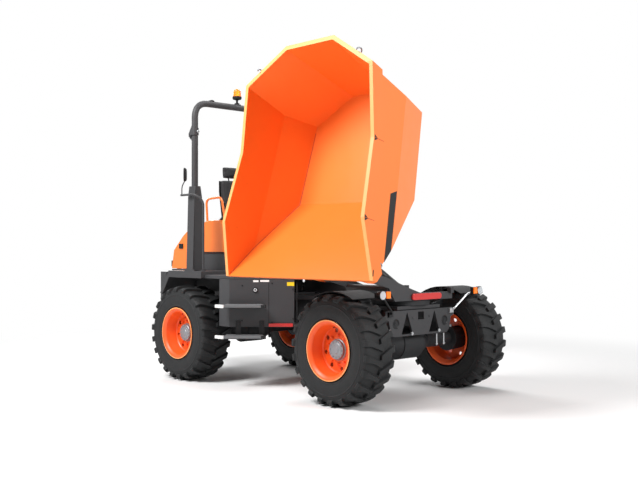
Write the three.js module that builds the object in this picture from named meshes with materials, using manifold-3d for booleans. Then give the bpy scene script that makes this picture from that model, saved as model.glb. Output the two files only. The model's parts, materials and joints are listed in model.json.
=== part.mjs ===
// Articulated site dumper with a swivelling, forward-tipping skip.
// Millimetres, +X forward, +Y to the machine's left, +Z up, ground at z = 0.
// The skip is drawn swung to the machine's right and fully tipped.
import * as THREE from "three";
import { mergeVertices } from "three/addons/utils/BufferGeometryUtils.js";
import { ConvexGeometry } from "three/addons/geometries/ConvexGeometry.js";
import Module from "manifold-3d";

const wasm = await Module();
wasm.setup();

// ---------- driving dimensions ----------

const GAP = 0.3; // between pieces that touch
const RUNNING = 6; // between pieces that move past each other

// wheels
const TYRE_RADIUS = 537.5;
const TYRE_WIDTH = 405;
const WHEELBASE = 2466;
const TRACK = 1773;
const RIM_BARREL_RADIUS = 250;
const RIM_WALL = 14;
const HUB_RADIUS = 105;
const AXLE_TUBE_RADIUS = 75;
const FRONT_X = WHEELBASE / 2;
const REAR_X = -WHEELBASE / 2;
const WHEEL_Y = TRACK / 2;

// chassis
const RAIL_HALF = 300; // inner face of each side rail
const RAIL_THICK = 30;
const REAR_RAIL_BOTTOM = 640;
const REAR_RAIL_TOP = 1000;
const REAR_END_X = REAR_X - 967;
const FRONT_RAIL_BOTTOM = 640;
const FRONT_RAIL_TOP = 900;
const FRONT_END_X = FRONT_X + 217;
const PIVOT_RADIUS = 95;
const PIVOT_PIN = 35;
const BUMPER_THICK = 130;
const BUMPER_HALF = 560;

// operator station
const DECK_TOP = 1245;
const DECK_HALF = 970;
const DECK_FRONT_X = REAR_X + 313;
const DECK_REAR_X = REAR_X - 307;
const FLOOR_TOP = 1205;
const FLOOR_THICK = 40;
const PANEL_OFFSET = 520; // the slanted side panels run along x + |y| = PANEL_OFFSET
const TANK_BOTTOM = 650;
const TANK_REAR_X = REAR_X + 623;
const HOOD_HALF = 500;
const HOOD_TOP = 1820;
const HOOD_FRONT_X = DECK_REAR_X - 40;
const HOOD_REAR_X = REAR_END_X + 30;
const HOOD_SKIN = 18;

// roll-over hoop
const ROPS_X = REAR_X + 93;
const ROPS_Y = 895;
const ROPS_TUBE = 37;
const ROPS_FOLD_Z = 2800;
const ROPS_FOLD_BACK = 62; // fold pin behind the tube's middle
const ROPS_TOP_Z = 3180;
const ROPS_BEND = 230;

// slewing frame and skip hinge
const SLEW_X = FRONT_X - 33;
const RING_RADIUS = 300;
const RING_BOTTOM = 930;
const RING_TOP = 985;
const ARM_HALF = 275; // inner face of each slew frame side plate
const ARM_THICK = 25;
const HINGE_FORWARD = 765; // from the slew axis to the tip hinge
const HINGE_Z = 1222;
const HINGE_BOSS = 52;
const HINGE_PIN = 22;
const SLEW_ANGLE = -90; // degrees from straight ahead
const SKIP_ANGLE = 77.1; // nose-down angle of the skip floor

// skip, measured from the tip hinge with its floor level: x forward, z up
const SKIP_PLATE = 10;
const SKIP_FLOOR_Z = 98;
const SKIP_SPOUT_X = -726; // where the flat floor turns up into the spout
const SPOUT_SLOPE = 0.689;
const SKIP_HALF = 769; // half width of the floor at the spout's foot
const SKIP_FLARE = 0.078; // side wall: half width gained per length forward
const LOWER_LEAN = 0.317; // side wall below its crease: half width gained per height
const UPPER_LEAN = 0.026; // and above it
const CREASE_Z = 465;
const SKIP_FLOOR_BACK_X = -1570; // where the side wall meets the corner panel at the floor
const SKIP_CORNER_X = -1704; // and at the rim
const SKIP_CORNER_HALF = 245; // half width of the floor's back edge
const SKIP_BACK_X = -1846;
const BACK_LEAN = 0.185; // back wall: length gained per height
const RIM = [
  [151, 702],
  [-357, 894],
  [-1071, 869],
  [-1728, 987],
  [-2080, 1000],
];
const BAND_DEPTH = 135;
const BAND_PROUD = 30;

// tip cylinder, in the slewing frame: x forward of the slew axis
const TIP_BASE = [-50, 1045]; // low between the arms
const TIP_EYE = [-270, 0]; // on the skip, from its hinge
const TIP_CLOSED = 567;
const TIP_BARREL_RADIUS = 45;
const TIP_ROD_RADIUS = 24;
const TIP_LUG_GAP = 31;
const RAM_SLOT = 60; // half width of the slot in the slewing frame's floor

// steering cylinder
const STEER_BASE = [-620, 370, 575];
const STEER_EYE = [280, 300, 575];
const STEER_BARREL_RADIUS = 38;
const STEER_ROD_RADIUS = 19;
const EYE_SHARE = 0.62; // half width of a cylinder's eye as a share of its barrel radius
const PIN_SHARE = 0.32; // radius of a cylinder's pin as a share of its barrel radius
const PIN_GAP = 0.8; // between a pin and its bore

// ---------- materials ----------

const paint = (colour, roughness, metalness = 0) =>
  new THREE.MeshStandardMaterial({ color: colour, roughness, metalness });
const ORANGE = 0xf26a1b;
const DARK = 0x2b2d30;
const RUBBER = 0x17181a;
const STEEL = 0x8f9499;

// ---------- solids ----------

const degrees = THREE.MathUtils.degToRad;

// A closed geometry as a solid, with its faces turned outwards.
function toSolid(geometry) {
  const bare = geometry.index ? geometry.toNonIndexed() : geometry.clone();
  bare.deleteAttribute("normal");
  bare.deleteAttribute("uv");
  const merged = mergeVertices(bare, 1e-3);
  const corners = merged.index.array;
  const faces = [];
  for (let i = 0; i < corners.length; i += 3) {
    const [a, b, c] = [corners[i], corners[i + 1], corners[i + 2]];
    if (a !== b && b !== c && c !== a) faces.push([a, b, c]);
  }
  const build = (triangles) =>
    new wasm.Manifold(
      new wasm.Mesh({
        numProp: 3,
        vertProperties: merged.attributes.position.array,
        triVerts: new Uint32Array(triangles.flat()),
      }),
    );
  const made = build(faces);
  return made.volume() > 0 ? made : build(faces.map(([a, b, c]) => [a, c, b]));
}

function toGeometry(solid) {
  const mesh = solid.getMesh();
  const geometry = new THREE.BufferGeometry();
  geometry.setAttribute("position", new THREE.BufferAttribute(mesh.vertProperties, 3));
  geometry.setIndex(new THREE.BufferAttribute(mesh.triVerts, 1));
  geometry.computeVertexNormals();
  return geometry;
}

const join = (...solids) => solids.reduce((whole, solid) => whole.add(solid));
const cut = (whole, ...holes) => holes.reduce((left, hole) => left.subtract(hole), whole);
const moved = (solid, x, y, z) => solid.translate([x, y, z]);
const mirrored = (solid) => solid.mirror([0, 1, 0]);
const bothSides = (solid) => join(solid, mirrored(solid));

// A box from its limits along each axis.
function block([x0, x1], [y0, y1], [z0, z1]) {
  const geometry = new THREE.BoxGeometry(x1 - x0, y1 - y0, z1 - z0);
  geometry.translate((x0 + x1) / 2, (y0 + y1) / 2, (z0 + z1) / 2);
  return toSolid(geometry);
}

function extruded(points, depth) {
  const shape = new THREE.Shape(points.map(([a, b]) => new THREE.Vector2(a, b)));
  return new THREE.ExtrudeGeometry(shape, { depth, bevelEnabled: false });
}

// An outline in x and z, from y0 to y1.
function sidePlate(points, y0, y1) {
  const geometry = extruded(points, y1 - y0);
  geometry.rotateX(Math.PI / 2).translate(0, y1, 0);
  return toSolid(geometry);
}

// An outline in x and y, from z0 to z1.
function planPlate(points, z0, z1) {
  return toSolid(extruded(points, z1 - z0).translate(0, 0, z0));
}

// An outline in y and z, from x0 to x1.
function facePlate(points, x0, x1) {
  const turn = new THREE.Matrix4().makeBasis(
    new THREE.Vector3(0, 1, 0),
    new THREE.Vector3(0, 0, 1),
    new THREE.Vector3(1, 0, 0),
  );
  return toSolid(extruded(points, x1 - x0).applyMatrix4(turn).translate(x0, 0, 0));
}

// A round bar between two points; endRadius tapers it.
function bar(start, end, radius, sides = 20, endRadius = radius) {
  const from = new THREE.Vector3(...start);
  const to = new THREE.Vector3(...end);
  const along = to.clone().sub(from);
  const geometry = new THREE.CylinderGeometry(endRadius, radius, along.length(), sides);
  const turn = new THREE.Quaternion().setFromUnitVectors(
    new THREE.Vector3(0, 1, 0),
    along.clone().normalize(),
  );
  const middle = from.add(to).multiplyScalar(0.5);
  geometry.applyQuaternion(turn).translate(middle.x, middle.y, middle.z);
  return toSolid(geometry);
}

// A round tube through corner points, each corner rounded by the bend length.
function bentTube(corners, radius, bend, sides = 12, steps = 30) {
  const points = corners.map((corner) => new THREE.Vector3(...corner));
  const path = new THREE.CurvePath();
  let last = points[0];
  for (let i = 1; i < points.length - 1; i += 1) {
    const corner = points[i];
    const before = last.clone().sub(corner);
    const after = points[i + 1].clone().sub(corner);
    const reach = Math.min(bend, before.length() * 0.9, after.length() * 0.45);
    const entry = corner.clone().add(before.setLength(reach));
    const exit = corner.clone().add(after.setLength(reach));
    path.add(new THREE.LineCurve3(last, entry));
    path.add(new THREE.QuadraticBezierCurve3(entry, corner, exit));
    last = exit;
  }
  path.add(new THREE.LineCurve3(last, points[points.length - 1]));
  const section = new THREE.Shape();
  section.absarc(0, 0, radius, 0, 2 * Math.PI, false);
  const geometry = new THREE.ExtrudeGeometry(section, {
    steps,
    curveSegments: sides / 2,
    extrudePath: path,
  });
  return toSolid(geometry);
}

// A profile of [radius, y] points turned about the y axis.
function turned(profile, sides = 36) {
  const closed = [...profile, profile[0]].map(([r, y]) => new THREE.Vector2(r, y));
  return toSolid(new THREE.LatheGeometry(closed, sides));
}

const convex = (points) =>
  toSolid(new ConvexGeometry(points.map((point) => new THREE.Vector3(...point))));

// ---------- scene graph ----------

const machine = new THREE.Group();
const slewing = new THREE.Group();
slewing.position.set(SLEW_X, 0, 0);
slewing.rotation.z = degrees(SLEW_ANGLE);
machine.add(slewing);
const tipping = new THREE.Group();
tipping.position.set(HINGE_FORWARD, 0, HINGE_Z);
tipping.rotation.y = degrees(SKIP_ANGLE);
slewing.add(tipping);

function put(group, name, solid, colour, roughness, metalness) {
  const mesh = new THREE.Mesh(toGeometry(solid), paint(colour, roughness, metalness));
  mesh.name = name;
  group.add(mesh);
  return mesh;
}

const SIDES = [
  ["right", -1],
  ["left", 1],
];

// ---------- wheels and axles ----------

// Each profile runs outboard along +y from the wheel's middle plane.
function rimSolid() {
  const half = TYRE_WIDTH / 2 - 8;
  const inner = RIM_BARREL_RADIUS - RIM_WALL;
  return turned([
    [0, 28],
    [inner, 28],
    [inner, -half + 10],
    [RIM_BARREL_RADIUS + 38, -half],
    [RIM_BARREL_RADIUS, -half + 30],
    [RIM_BARREL_RADIUS, half - 30],
    [RIM_BARREL_RADIUS + 38, half - 14],
    [RIM_BARREL_RADIUS + 38, half],
    [RIM_BARREL_RADIUS + 14, half],
    [inner, half - 30],
    [inner, 50],
    [HUB_RADIUS, 46],
    [HUB_RADIUS, 120],
    [0, 125],
  ], 24);
}

function tyreSolid() {
  const half = TYRE_WIDTH / 2;
  const bead = RIM_BARREL_RADIUS + 1.5;
  const side = [
    [bead, half - 45],
    [bead + 42, half - 34],
    [bead + 70, half - 4],
    [bead + 150, half],
    [TYRE_RADIUS - 40, half - 12],
    [TYRE_RADIUS, half - 60],
  ];
  const other = side.map(([r, y]) => [r, -y]).reverse();
  return turned([...side, ...other], 32);
}

function addWheel(name, x, side) {
  const wheel = new THREE.Group();
  wheel.position.set(x, side * WHEEL_Y, TYRE_RADIUS);
  wheel.rotation.z = side > 0 ? 0 : Math.PI;
  machine.add(wheel);
  put(wheel, "tyre_" + name, tyreSolid(), RUBBER, 0.9);
  put(wheel, "rim_" + name, rimSolid(), ORANGE, 0.4);
}

function axleSolid(x, padTop) {
  const z = TYRE_RADIUS;
  const hubFace = WHEEL_Y + 28 - GAP;
  const tube = bar([x, -hubFace + 60, z], [x, hubFace - 60, z], AXLE_TUBE_RADIUS, 16);
  const drum = bar([x, hubFace, z], [x, hubFace - 210, z], 120, 20, 135);
  const housing = bar([x, -150, z], [x, 150, z], 165, 20);
  const taper = bar([x, 140, z], [x, 330, z], 160, 20, AXLE_TUBE_RADIUS);
  const pads = block([x - 90, x + 90], [RAIL_HALF - 25, RAIL_HALF + 60], [z, padTop - GAP]);
  return join(tube, housing, bothSides(drum), bothSides(taper), bothSides(pads));
}

for (const [side, sign] of SIDES) {
  addWheel("front_" + side, FRONT_X, sign);
  addWheel("rear_" + side, REAR_X, sign);
}
put(machine, "front_axle", axleSolid(FRONT_X, FRONT_RAIL_BOTTOM), DARK, 0.6);
put(machine, "rear_axle", axleSolid(REAR_X, REAR_RAIL_BOTTOM), DARK, 0.6);

// ---------- rear chassis ----------

const YOKE_TOP = [930, 975];
const YOKE_BOTTOM = [REAR_RAIL_BOTTOM - 15, REAR_RAIL_BOTTOM + 30];

function yokePlate(levels) {
  const nose = bar([0, 0, levels[0]], [0, 0, levels[1]], PIVOT_RADIUS, 28);
  const web = planPlate(
    [
      [-420, -RAIL_HALF - RAIL_THICK],
      [-330, -RAIL_HALF - RAIL_THICK],
      [0, -PIVOT_RADIUS],
      [0, PIVOT_RADIUS],
      [-330, RAIL_HALF + RAIL_THICK],
      [-420, RAIL_HALF + RAIL_THICK],
    ],
    levels[0],
    levels[1],
  );
  return join(nose, web);
}

function rearFrame() {
  const rail = sidePlate(
    [
      [REAR_END_X, REAR_RAIL_BOTTOM + 60],
      [REAR_END_X + 500, REAR_RAIL_BOTTOM],
      [-330, REAR_RAIL_BOTTOM],
      [-330, YOKE_TOP[1]],
      [-420, REAR_RAIL_TOP],
      [REAR_END_X, REAR_RAIL_TOP],
    ],
    RAIL_HALF,
    RAIL_HALF + RAIL_THICK,
  );
  const within = [-RAIL_HALF - 5, RAIL_HALF + 5];
  const cross = block([-440, -400], within, [REAR_RAIL_BOTTOM, REAR_RAIL_TOP - 10]);
  const middle = block([REAR_X + 113, REAR_X + 153], within, [760, REAR_RAIL_TOP - 10]);
  const tail = block([REAR_END_X, REAR_END_X + 30], within, [720, REAR_RAIL_TOP]);
  const steerEar = steerLugs(STEER_BASE, STEER_BASE[0] - 140, REAR_RAIL_BOTTOM + 20);
  const [pinX, pinY, pinZ] = STEER_BASE;
  const steerPin = bar(
    [pinX, pinY, pinZ - EAR_FAR],
    [pinX, pinY, pinZ + EAR_FAR],
    STEER_BARREL_RADIUS * PIN_SHARE,
    16,
  );
  return join(
    bothSides(rail),
    cross,
    middle,
    tail,
    yokePlate(YOKE_TOP),
    yokePlate(YOKE_BOTTOM),
    steerEar,
    steerPin,
    bar([0, 0, YOKE_BOTTOM[0]], [0, 0, YOKE_TOP[1]], PIVOT_PIN, 24),
  );
}

const EAR_NEAR = STEER_BARREL_RADIUS * EYE_SHARE + 5;
const EAR_FAR = EAR_NEAR + 16;

// Two ears above and below the steering cylinder's eye, joined by a post beyond it.
// The upper ear reaches to x = reach and up into the frame.
function steerLugs([x, y, z], reach, rise) {
  const way = Math.sign(reach - x);
  const post = [x + way * 78, x + way * 98].sort((a, b) => a - b);
  const ear = [x - way * 45, x + way * 98].sort((a, b) => a - b);
  const low = block(ear, [y - 45, y + 35], [z - EAR_FAR, z - EAR_NEAR]);
  const web = block(post, [y - 45, y + 35], [z - EAR_FAR, z + EAR_FAR]);
  const span = [x - way * 45, reach].sort((a, b) => a - b);
  const ys = [Math.min(RAIL_HALF, y - 45), Math.max(RAIL_HALF + RAIL_THICK, y + 35)];
  const high = block(span, ys, [z + EAR_NEAR, z + EAR_FAR]);
  const edge = [reach - way * 60, reach].sort((a, b) => a - b);
  const lift = block(edge, [RAIL_HALF, RAIL_HALF + RAIL_THICK], [z + EAR_NEAR, rise]);
  return join(low, web, high, lift);
}

function rearBumper() {
  const outline = [
    [-BUMPER_HALF, 780],
    [-BUMPER_HALF + 90, 660],
    [BUMPER_HALF - 90, 660],
    [BUMPER_HALF, 780],
    [BUMPER_HALF, 1210],
    [-BUMPER_HALF, 1210],
  ];
  const slab = facePlate(outline, REAR_END_X - BUMPER_THICK - GAP, REAR_END_X - GAP);
  const shelf = block(
    [REAR_END_X - 20, DECK_REAR_X - 10],
    [RAIL_HALF + RAIL_THICK + GAP, HOOD_HALF],
    [REAR_RAIL_TOP - 30, REAR_RAIL_TOP],
  );
  return join(slab, bothSides(shelf));
}

function engineBlock() {
  const along = (from, to) => [REAR_END_X + from, REAR_END_X + to];
  const crank = block(along(120, 510), [-250, 250], [800, 1180]);
  const head = block(along(160, 480), [-190, 190], [1170, 1440]);
  const gearbox = block(along(500, 720), [-180, 180], [760, 1050]);
  const feet = block(along(250, 350), [200, RAIL_HALF - GAP], [840, 900]);
  return join(crank, head, gearbox, bothSides(feet));
}

put(machine, "rear_frame", rearFrame(), DARK, 0.55);
put(machine, "rear_bumper", rearBumper(), DARK, 0.55);
put(machine, "engine_block", engineBlock(), STEEL, 0.6);

// ---------- deck, tanks, fenders and steps ----------

const TANK_TOP = FLOOR_TOP - FLOOR_THICK - GAP;
const TANK_SIDE_Y = -(DECK_HALF - 20);

function rightTank() {
  const tip = -(PANEL_OFFSET - 70);
  return planPlate(
    [
      [TANK_REAR_X, TANK_SIDE_Y],
      [TANK_SIDE_Y + PANEL_OFFSET, TANK_SIDE_Y],
      [tip + PANEL_OFFSET, tip],
      [tip + PANEL_OFFSET - 60, tip + 40],
      [-380, -RAIL_HALF - RAIL_THICK - GAP],
      [TANK_REAR_X, -RAIL_HALF - RAIL_THICK - GAP],
    ],
    TANK_BOTTOM,
    TANK_TOP,
  );
}

function operatorFloor() {
  const y = DECK_HALF - 50;
  const tip = PANEL_OFFSET - 70;
  const half = [
    [DECK_FRONT_X + GAP, y],
    [y * -1 + PANEL_OFFSET, y],
    [PANEL_OFFSET - tip, tip],
  ];
  const other = half.map(([px, py]) => [px, -py]).reverse();
  const plate = planPlate([...half, ...other].reverse(), FLOOR_TOP - FLOOR_THICK, FLOOR_TOP);
  const rear = block(
    [DECK_REAR_X - 20, DECK_FRONT_X + 2],
    [-545, 545],
    [FLOOR_TOP - FLOOR_THICK, FLOOR_TOP],
  );
  const post = block(
    [-700, -640],
    [RAIL_HALF, RAIL_HALF + RAIL_THICK],
    [REAR_RAIL_TOP + GAP, FLOOR_TOP - FLOOR_THICK + 5],
  );
  const rearPost = block(
    [DECK_REAR_X, DECK_REAR_X + 60],
    [RAIL_HALF, RAIL_HALF + RAIL_THICK],
    [REAR_RAIL_TOP + GAP, FLOOR_TOP - FLOOR_THICK + 5],
  );
  return join(plate, rear, bothSides(post), bothSides(rearPost));
}

function rightFender() {
  const outer = -DECK_HALF;
  const inner = -545 - GAP;
  const bottom = DECK_TOP - 80;
  const shell = sidePlate(
    [
      [DECK_FRONT_X, DECK_TOP],
      [DECK_FRONT_X, bottom],
      [DECK_REAR_X - 10, bottom],
      [DECK_REAR_X - 115, 1010],
      [DECK_REAR_X - 160, 960],
      [DECK_REAR_X - 195, 975],
      [DECK_REAR_X - 145, 1050],
      [DECK_REAR_X - 20, DECK_TOP],
    ].reverse(),
    outer,
    inner,
  );
  const skirt = block([DECK_REAR_X, DECK_FRONT_X], [inner - 25, inner], [1000, bottom + 5]);
  return join(shell, skirt);
}

function stepTread(z) {
  const wall = PANEL_OFFSET + 1.5 * GAP;
  const outline = [
    [-470, -1120],
    [-340, -1120],
    [-20, -800],
    [-150, -150 - wall],
    [TANK_SIDE_Y - GAP + wall, TANK_SIDE_Y - GAP],
    [-470, TANK_SIDE_Y - GAP],
  ];
  return planPlate(outline, z - 35, z);
}

// The straps lie on the slanted panel and carry both treads.
function rightSteps() {
  const [upper, lower] = [900, 570];
  const strap = (x) => {
    const y = x - PANEL_OFFSET - 1.5 * GAP;
    const outline = [
      [x, y],
      [x + 10, y - 10],
      [x + 50, y + 30],
      [x + 40, y + 40],
    ];
    return planPlate(outline, lower - 30, upper);
  };
  return join(stepTread(upper), stepTread(lower), strap(-380), strap(-200));
}

for (const [side, sign] of SIDES) {
  const fit = sign < 0 ? (solid) => solid : mirrored;
  put(machine, "side_tank_" + side, fit(rightTank()), DARK, 0.5);
  put(machine, "rear_fender_" + side, fit(rightFender()), DARK, 0.5);
  put(machine, "steps_" + side, fit(rightSteps()), DARK, 0.6);
}
put(machine, "operator_floor", operatorFloor(), DARK, 0.7);

// ---------- hood, seat and controls ----------

const HOOD_HINGE = [HOOD_REAR_X - 20, DECK_TOP + 5];
const HOOD_PIN = 10;
const HINGE_Y = 366;

const hoodOutline = (inset) => [
  [HOOD_REAR_X + inset, DECK_TOP + 8],
  [HOOD_FRONT_X - inset, DECK_TOP + 8],
  [HOOD_FRONT_X - inset, HOOD_TOP - inset],
  [HOOD_REAR_X + 470, HOOD_TOP - 20 - inset],
  [HOOD_REAR_X + 240 + inset / 2, 1655 - inset],
  [HOOD_REAR_X + 45 + inset, 1480 - inset / 2],
];

function engineHood() {
  const outer = sidePlate(hoodOutline(0), -HOOD_HALF, HOOD_HALF);
  const inner = sidePlate(hoodOutline(HOOD_SKIN), -HOOD_HALF + HOOD_SKIN, HOOD_HALF - HOOD_SKIN);
  const shell = cut(outer, inner, moved(inner, 0, 0, -HOOD_SKIN));
  const [x, z] = HOOD_HINGE;
  const knuckle = sidePlate(
    [
      [x + 34, z + 6],
      [x + 34, z + 50],
      [x, z + 18],
      [x - 16, z + 6],
      [x - 14, z - 12],
      [x + 4, z - 15],
      [x + 12, z - 10],
      [x + 14, z + 6],
    ],
    HINGE_Y - 14,
    HINGE_Y + 14,
  );
  const bore = bar([x, HINGE_Y - 20, z], [x, HINGE_Y + 20, z], HOOD_PIN + PIN_GAP, 16);
  return join(shell, bothSides(cut(knuckle, bore)));
}

function hoodSill() {
  const beam = block([HOOD_REAR_X, HOOD_FRONT_X + 10], [HOOD_HALF - 60, HOOD_HALF], [1170, DECK_TOP]);
  const post = block([HOOD_REAR_X + 20, HOOD_REAR_X + 80], [RAIL_HALF, HOOD_HALF], [REAR_RAIL_TOP + GAP, 1180]);
  const back = block([HOOD_REAR_X, HOOD_REAR_X + 60], [-HOOD_HALF, HOOD_HALF], [1170, DECK_TOP]);
  const [x, z] = HOOD_HINGE;
  const lug = sidePlate(
    [
      [x + 25, z - 35],
      [x + 25, z - 5],
      [x + 12, z + 14],
      [x - 12, z + 14],
      [x - 16, z - 12],
      [x, z - 34],
    ],
    HINGE_Y + 20,
    HINGE_Y + 34,
  );
  const pin = bar([x, HINGE_Y - 20, z], [x, HINGE_Y + 30, z], HOOD_PIN, 16);
  return join(back, bothSides(beam), bothSides(post), bothSides(lug), bothSides(pin));
}

const PLINTH_TOP = 1445;
const SEAT_BOTTOM = 1600 + GAP;

function seatBase() {
  const plinth = block([-1520, -1090], [-500, 500], [FLOOR_TOP + GAP, PLINTH_TOP]);
  const riser = block([-1500, -1060], [-230, 230], [PLINTH_TOP - 5, SEAT_BOTTOM - GAP]);
  return join(plinth, riser);
}

function seatCushion() {
  return sidePlate(
    [
      [-1500, SEAT_BOTTOM],
      [-1030, SEAT_BOTTOM],
      [-1000, 1640],
      [-1010, 1700],
      [-1060, 1728],
      [-1440, 1712],
      [-1500, 1690],
    ],
    -240,
    240,
  );
}

function seatBack() {
  const back = sidePlate(
    [
      [-1512, 1730],
      [-1415, 1722],
      [-1400, 1780],
      [-1480, 2200],
      [-1520, 2335],
      [-1600, 2345],
      [-1590, 2200],
      [-1535, 1800],
    ],
    -215,
    215,
  );
  const headrest = sidePlate(
    [
      [-1640, 2370],
      [-1555, 2350],
      [-1560, 2490],
      [-1585, 2515],
      [-1650, 2515],
      [-1665, 2490],
    ],
    -125,
    125,
  );
  const stalk = bar([-1560, 50, 2300], [-1605, 50, 2400], 9, 10);
  const bracket = block([-1514, -1500 - GAP], [-150, 150], [1500, 1760]);
  return join(back, headrest, bothSides(stalk), bracket);
}

function rightConsole() {
  const [y0, y1] = [-515, -350];
  const box = sidePlate(
    [
      [-1515, PLINTH_TOP + GAP],
      [-1095, PLINTH_TOP + GAP],
      [-1080, 1700],
      [-1120, 1800],
      [-1200, 1838],
      [-1440, 1838],
      [-1515, 1800],
    ],
    y0,
    y1,
  );
  const rail = bentTube(
    [
      [-1470, -470, 1820],
      [-1480, -480, 2095],
      [-1180, -480, 2115],
      [-1110, -470, 1790],
    ],
    15,
    75,
    8,
    16,
  );
  return join(box, rail);
}

const STEER_WHEEL = { x: -728, z: 1902, radius: 185, tube: 15, tilt: -22.5, hub: 38 };

// A point on the steering wheel's axis, a distance below its middle.
function steerShaft(below) {
  const { x, z, tilt } = STEER_WHEEL;
  return [x - below * Math.sin(degrees(tilt)), 0, z - below * Math.cos(degrees(tilt))];
}

function steeringConsole() {
  const pedestal = sidePlate(
    [
      [-640, FLOOR_TOP + GAP],
      [-470, FLOOR_TOP + GAP],
      [-470, 1560],
      [-540, 1700],
      [-700, 1740],
      [-720, 1690],
      [-640, 1600],
    ],
    -190,
    190,
  );
  const column = bar(steerShaft(220), steerShaft(STEER_WHEEL.hub + GAP), 34, 18);
  return join(pedestal, column);
}

function steeringWheel() {
  const { radius, tube, hub } = STEER_WHEEL;
  const ring = toSolid(new THREE.TorusGeometry(radius - tube, tube, 8, 20));
  const spoke = block([-9, 9], [-radius + tube, radius - tube], [-8, 8]);
  const second = block([0, radius - tube], [-9, 9], [-8, 8]);
  const boss = bar([0, 0, -hub], [0, 0, 14], 40, 20);
  return join(ring, spoke, second, boss);
}

const wheelTilt = new THREE.Group();
wheelTilt.position.set(STEER_WHEEL.x, 0, STEER_WHEEL.z);
wheelTilt.rotation.y = degrees(STEER_WHEEL.tilt);
machine.add(wheelTilt);
put(wheelTilt, "steering_wheel", steeringWheel(), RUBBER, 0.7);

put(machine, "engine_hood", engineHood(), ORANGE, 0.4);
put(machine, "hood_sill", hoodSill(), DARK, 0.6);
put(machine, "seat_base", seatBase(), DARK, 0.7);
put(machine, "seat_cushion", seatCushion(), RUBBER, 0.8);
put(machine, "seat_back", seatBack(), RUBBER, 0.8);
put(machine, "steering_console", steeringConsole(), DARK, 0.6);
for (const [side, sign] of SIDES) {
  const fit = sign < 0 ? (solid) => solid : mirrored;
  put(machine, "console_" + side, fit(rightConsole()), ORANGE, 0.45);
}

// ---------- roll-over hoop, handrails, mirrors, beacon ----------

const FOLD_X = ROPS_X - ROPS_FOLD_BACK;
const FOLD_PIN = 11;

function rightPost() {
  const y = -ROPS_Y;
  const foot = block([ROPS_X - 95, ROPS_X + 95], [y - 75, y + 95], [DECK_TOP + GAP, DECK_TOP + 18]);
  const column = facePlate(
    [
      [y - 72, DECK_TOP + 10],
      [y + 72, DECK_TOP + 10],
      [y + 56, 2090],
      [y + 34, 2215],
      [y - 34, 2215],
      [y - 50, 2090],
    ],
    ROPS_X - 62,
    ROPS_X + 62,
  );
  const tube = bar([ROPS_X, y, 2150], [ROPS_X, y, ROPS_FOLD_Z - RUNNING], ROPS_TUBE, 20);
  const ear = sidePlate(
    [
      [ROPS_X + 10, ROPS_FOLD_Z - 110],
      [ROPS_X + 10, ROPS_FOLD_Z - RUNNING],
      [FOLD_X + 20, ROPS_FOLD_Z + 24],
      [FOLD_X - 24, ROPS_FOLD_Z + 24],
      [FOLD_X - 28, ROPS_FOLD_Z - 24],
    ].reverse(),
    y - 9,
    y + 9,
  );
  const pin = bar([FOLD_X, y - 30, ROPS_FOLD_Z], [FOLD_X, y + 30, ROPS_FOLD_Z], FOLD_PIN, 16);
  return join(foot, column, tube, ear, pin);
}

const BEACON_Y = -280;
const BEACON_BASE_Z = ROPS_TOP_Z + ROPS_TUBE + 6;

function ropsHoop() {
  const low = ROPS_FOLD_Z;
  const hoop = bentTube(
    [
      [ROPS_X, -ROPS_Y, low],
      [ROPS_X, -ROPS_Y, ROPS_TOP_Z],
      [ROPS_X, ROPS_Y, ROPS_TOP_Z],
      [ROPS_X, ROPS_Y, low],
    ],
    ROPS_TUBE,
    ROPS_BEND,
    12,
    34,
  );
  const cheek = sidePlate(
    [
      [ROPS_X - 5, low + 130],
      [FOLD_X - 22, low + 22],
      [FOLD_X - 17, low - 17],
      [FOLD_X + 12, low - 19],
      [FOLD_X + 20, low + 4],
      [ROPS_X - 5, low + 8],
    ],
    -ROPS_Y + 9 + RUNNING,
    -ROPS_Y + 24 + RUNNING,
  );
  const reach = [-ROPS_Y - 60, -ROPS_Y + 60];
  const bore = bar([FOLD_X, reach[0], low], [FOLD_X, reach[1], low], FOLD_PIN + PIN_GAP, 16);
  const slot = block(
    [FOLD_X - 60, ROPS_X + 60],
    [-ROPS_Y - 9 - RUNNING, -ROPS_Y + 9 + RUNNING],
    [low - 1, low + 24 + RUNNING + 6],
  );
  const pair = join(cheek, moved(mirrored(cheek), 0, -2 * ROPS_Y, 0));
  const cuts = join(bore, slot);
  const perch = block(
    [ROPS_X - 40, ROPS_X + 40],
    [BEACON_Y - 40, BEACON_Y + 40],
    [ROPS_TOP_Z + 20, BEACON_BASE_Z - GAP],
  );
  return cut(join(hoop, bothSides(pair), perch), bothSides(cuts));
}

function beacon() {
  const profile = [
    [0, 0],
    [14, 0],
    [14, 40],
    [50, 52],
    [55, 80],
    [52, 90],
    [50, 150],
    [34, 178],
    [0, 186],
  ];
  const dome = new THREE.LatheGeometry(
    profile.map(([r, h]) => new THREE.Vector2(r, h)),
    16,
  );
  dome.rotateX(Math.PI / 2).translate(ROPS_X, BEACON_Y, BEACON_BASE_Z);
  return toSolid(dome);
}

const MIRROR_X = ROPS_X - 125;
const MIRROR_Z = 2270;

function rightHandrail() {
  const [x, y] = [ROPS_X + 190, -ROPS_Y - 20];
  const rail = bentTube(
    [
      [x, y, DECK_TOP + GAP],
      [x, y, 2040],
      [x - 60, -ROPS_Y - 92, 2115],
      [x - 330, -ROPS_Y - 92, 2115],
    ],
    13,
    70,
    8,
    18,
  );
  const clamp = block([ROPS_X - 15, ROPS_X + 15], [-ROPS_Y - 92, -ROPS_Y - 53], [2105, 2125]);
  const stem = bar([MIRROR_X, -ROPS_Y - 92, 2110], [MIRROR_X, -ROPS_Y - 92, MIRROR_Z], 7, 10);
  return join(rail, cut(clamp, rightPostFace()), stem);
}

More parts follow.
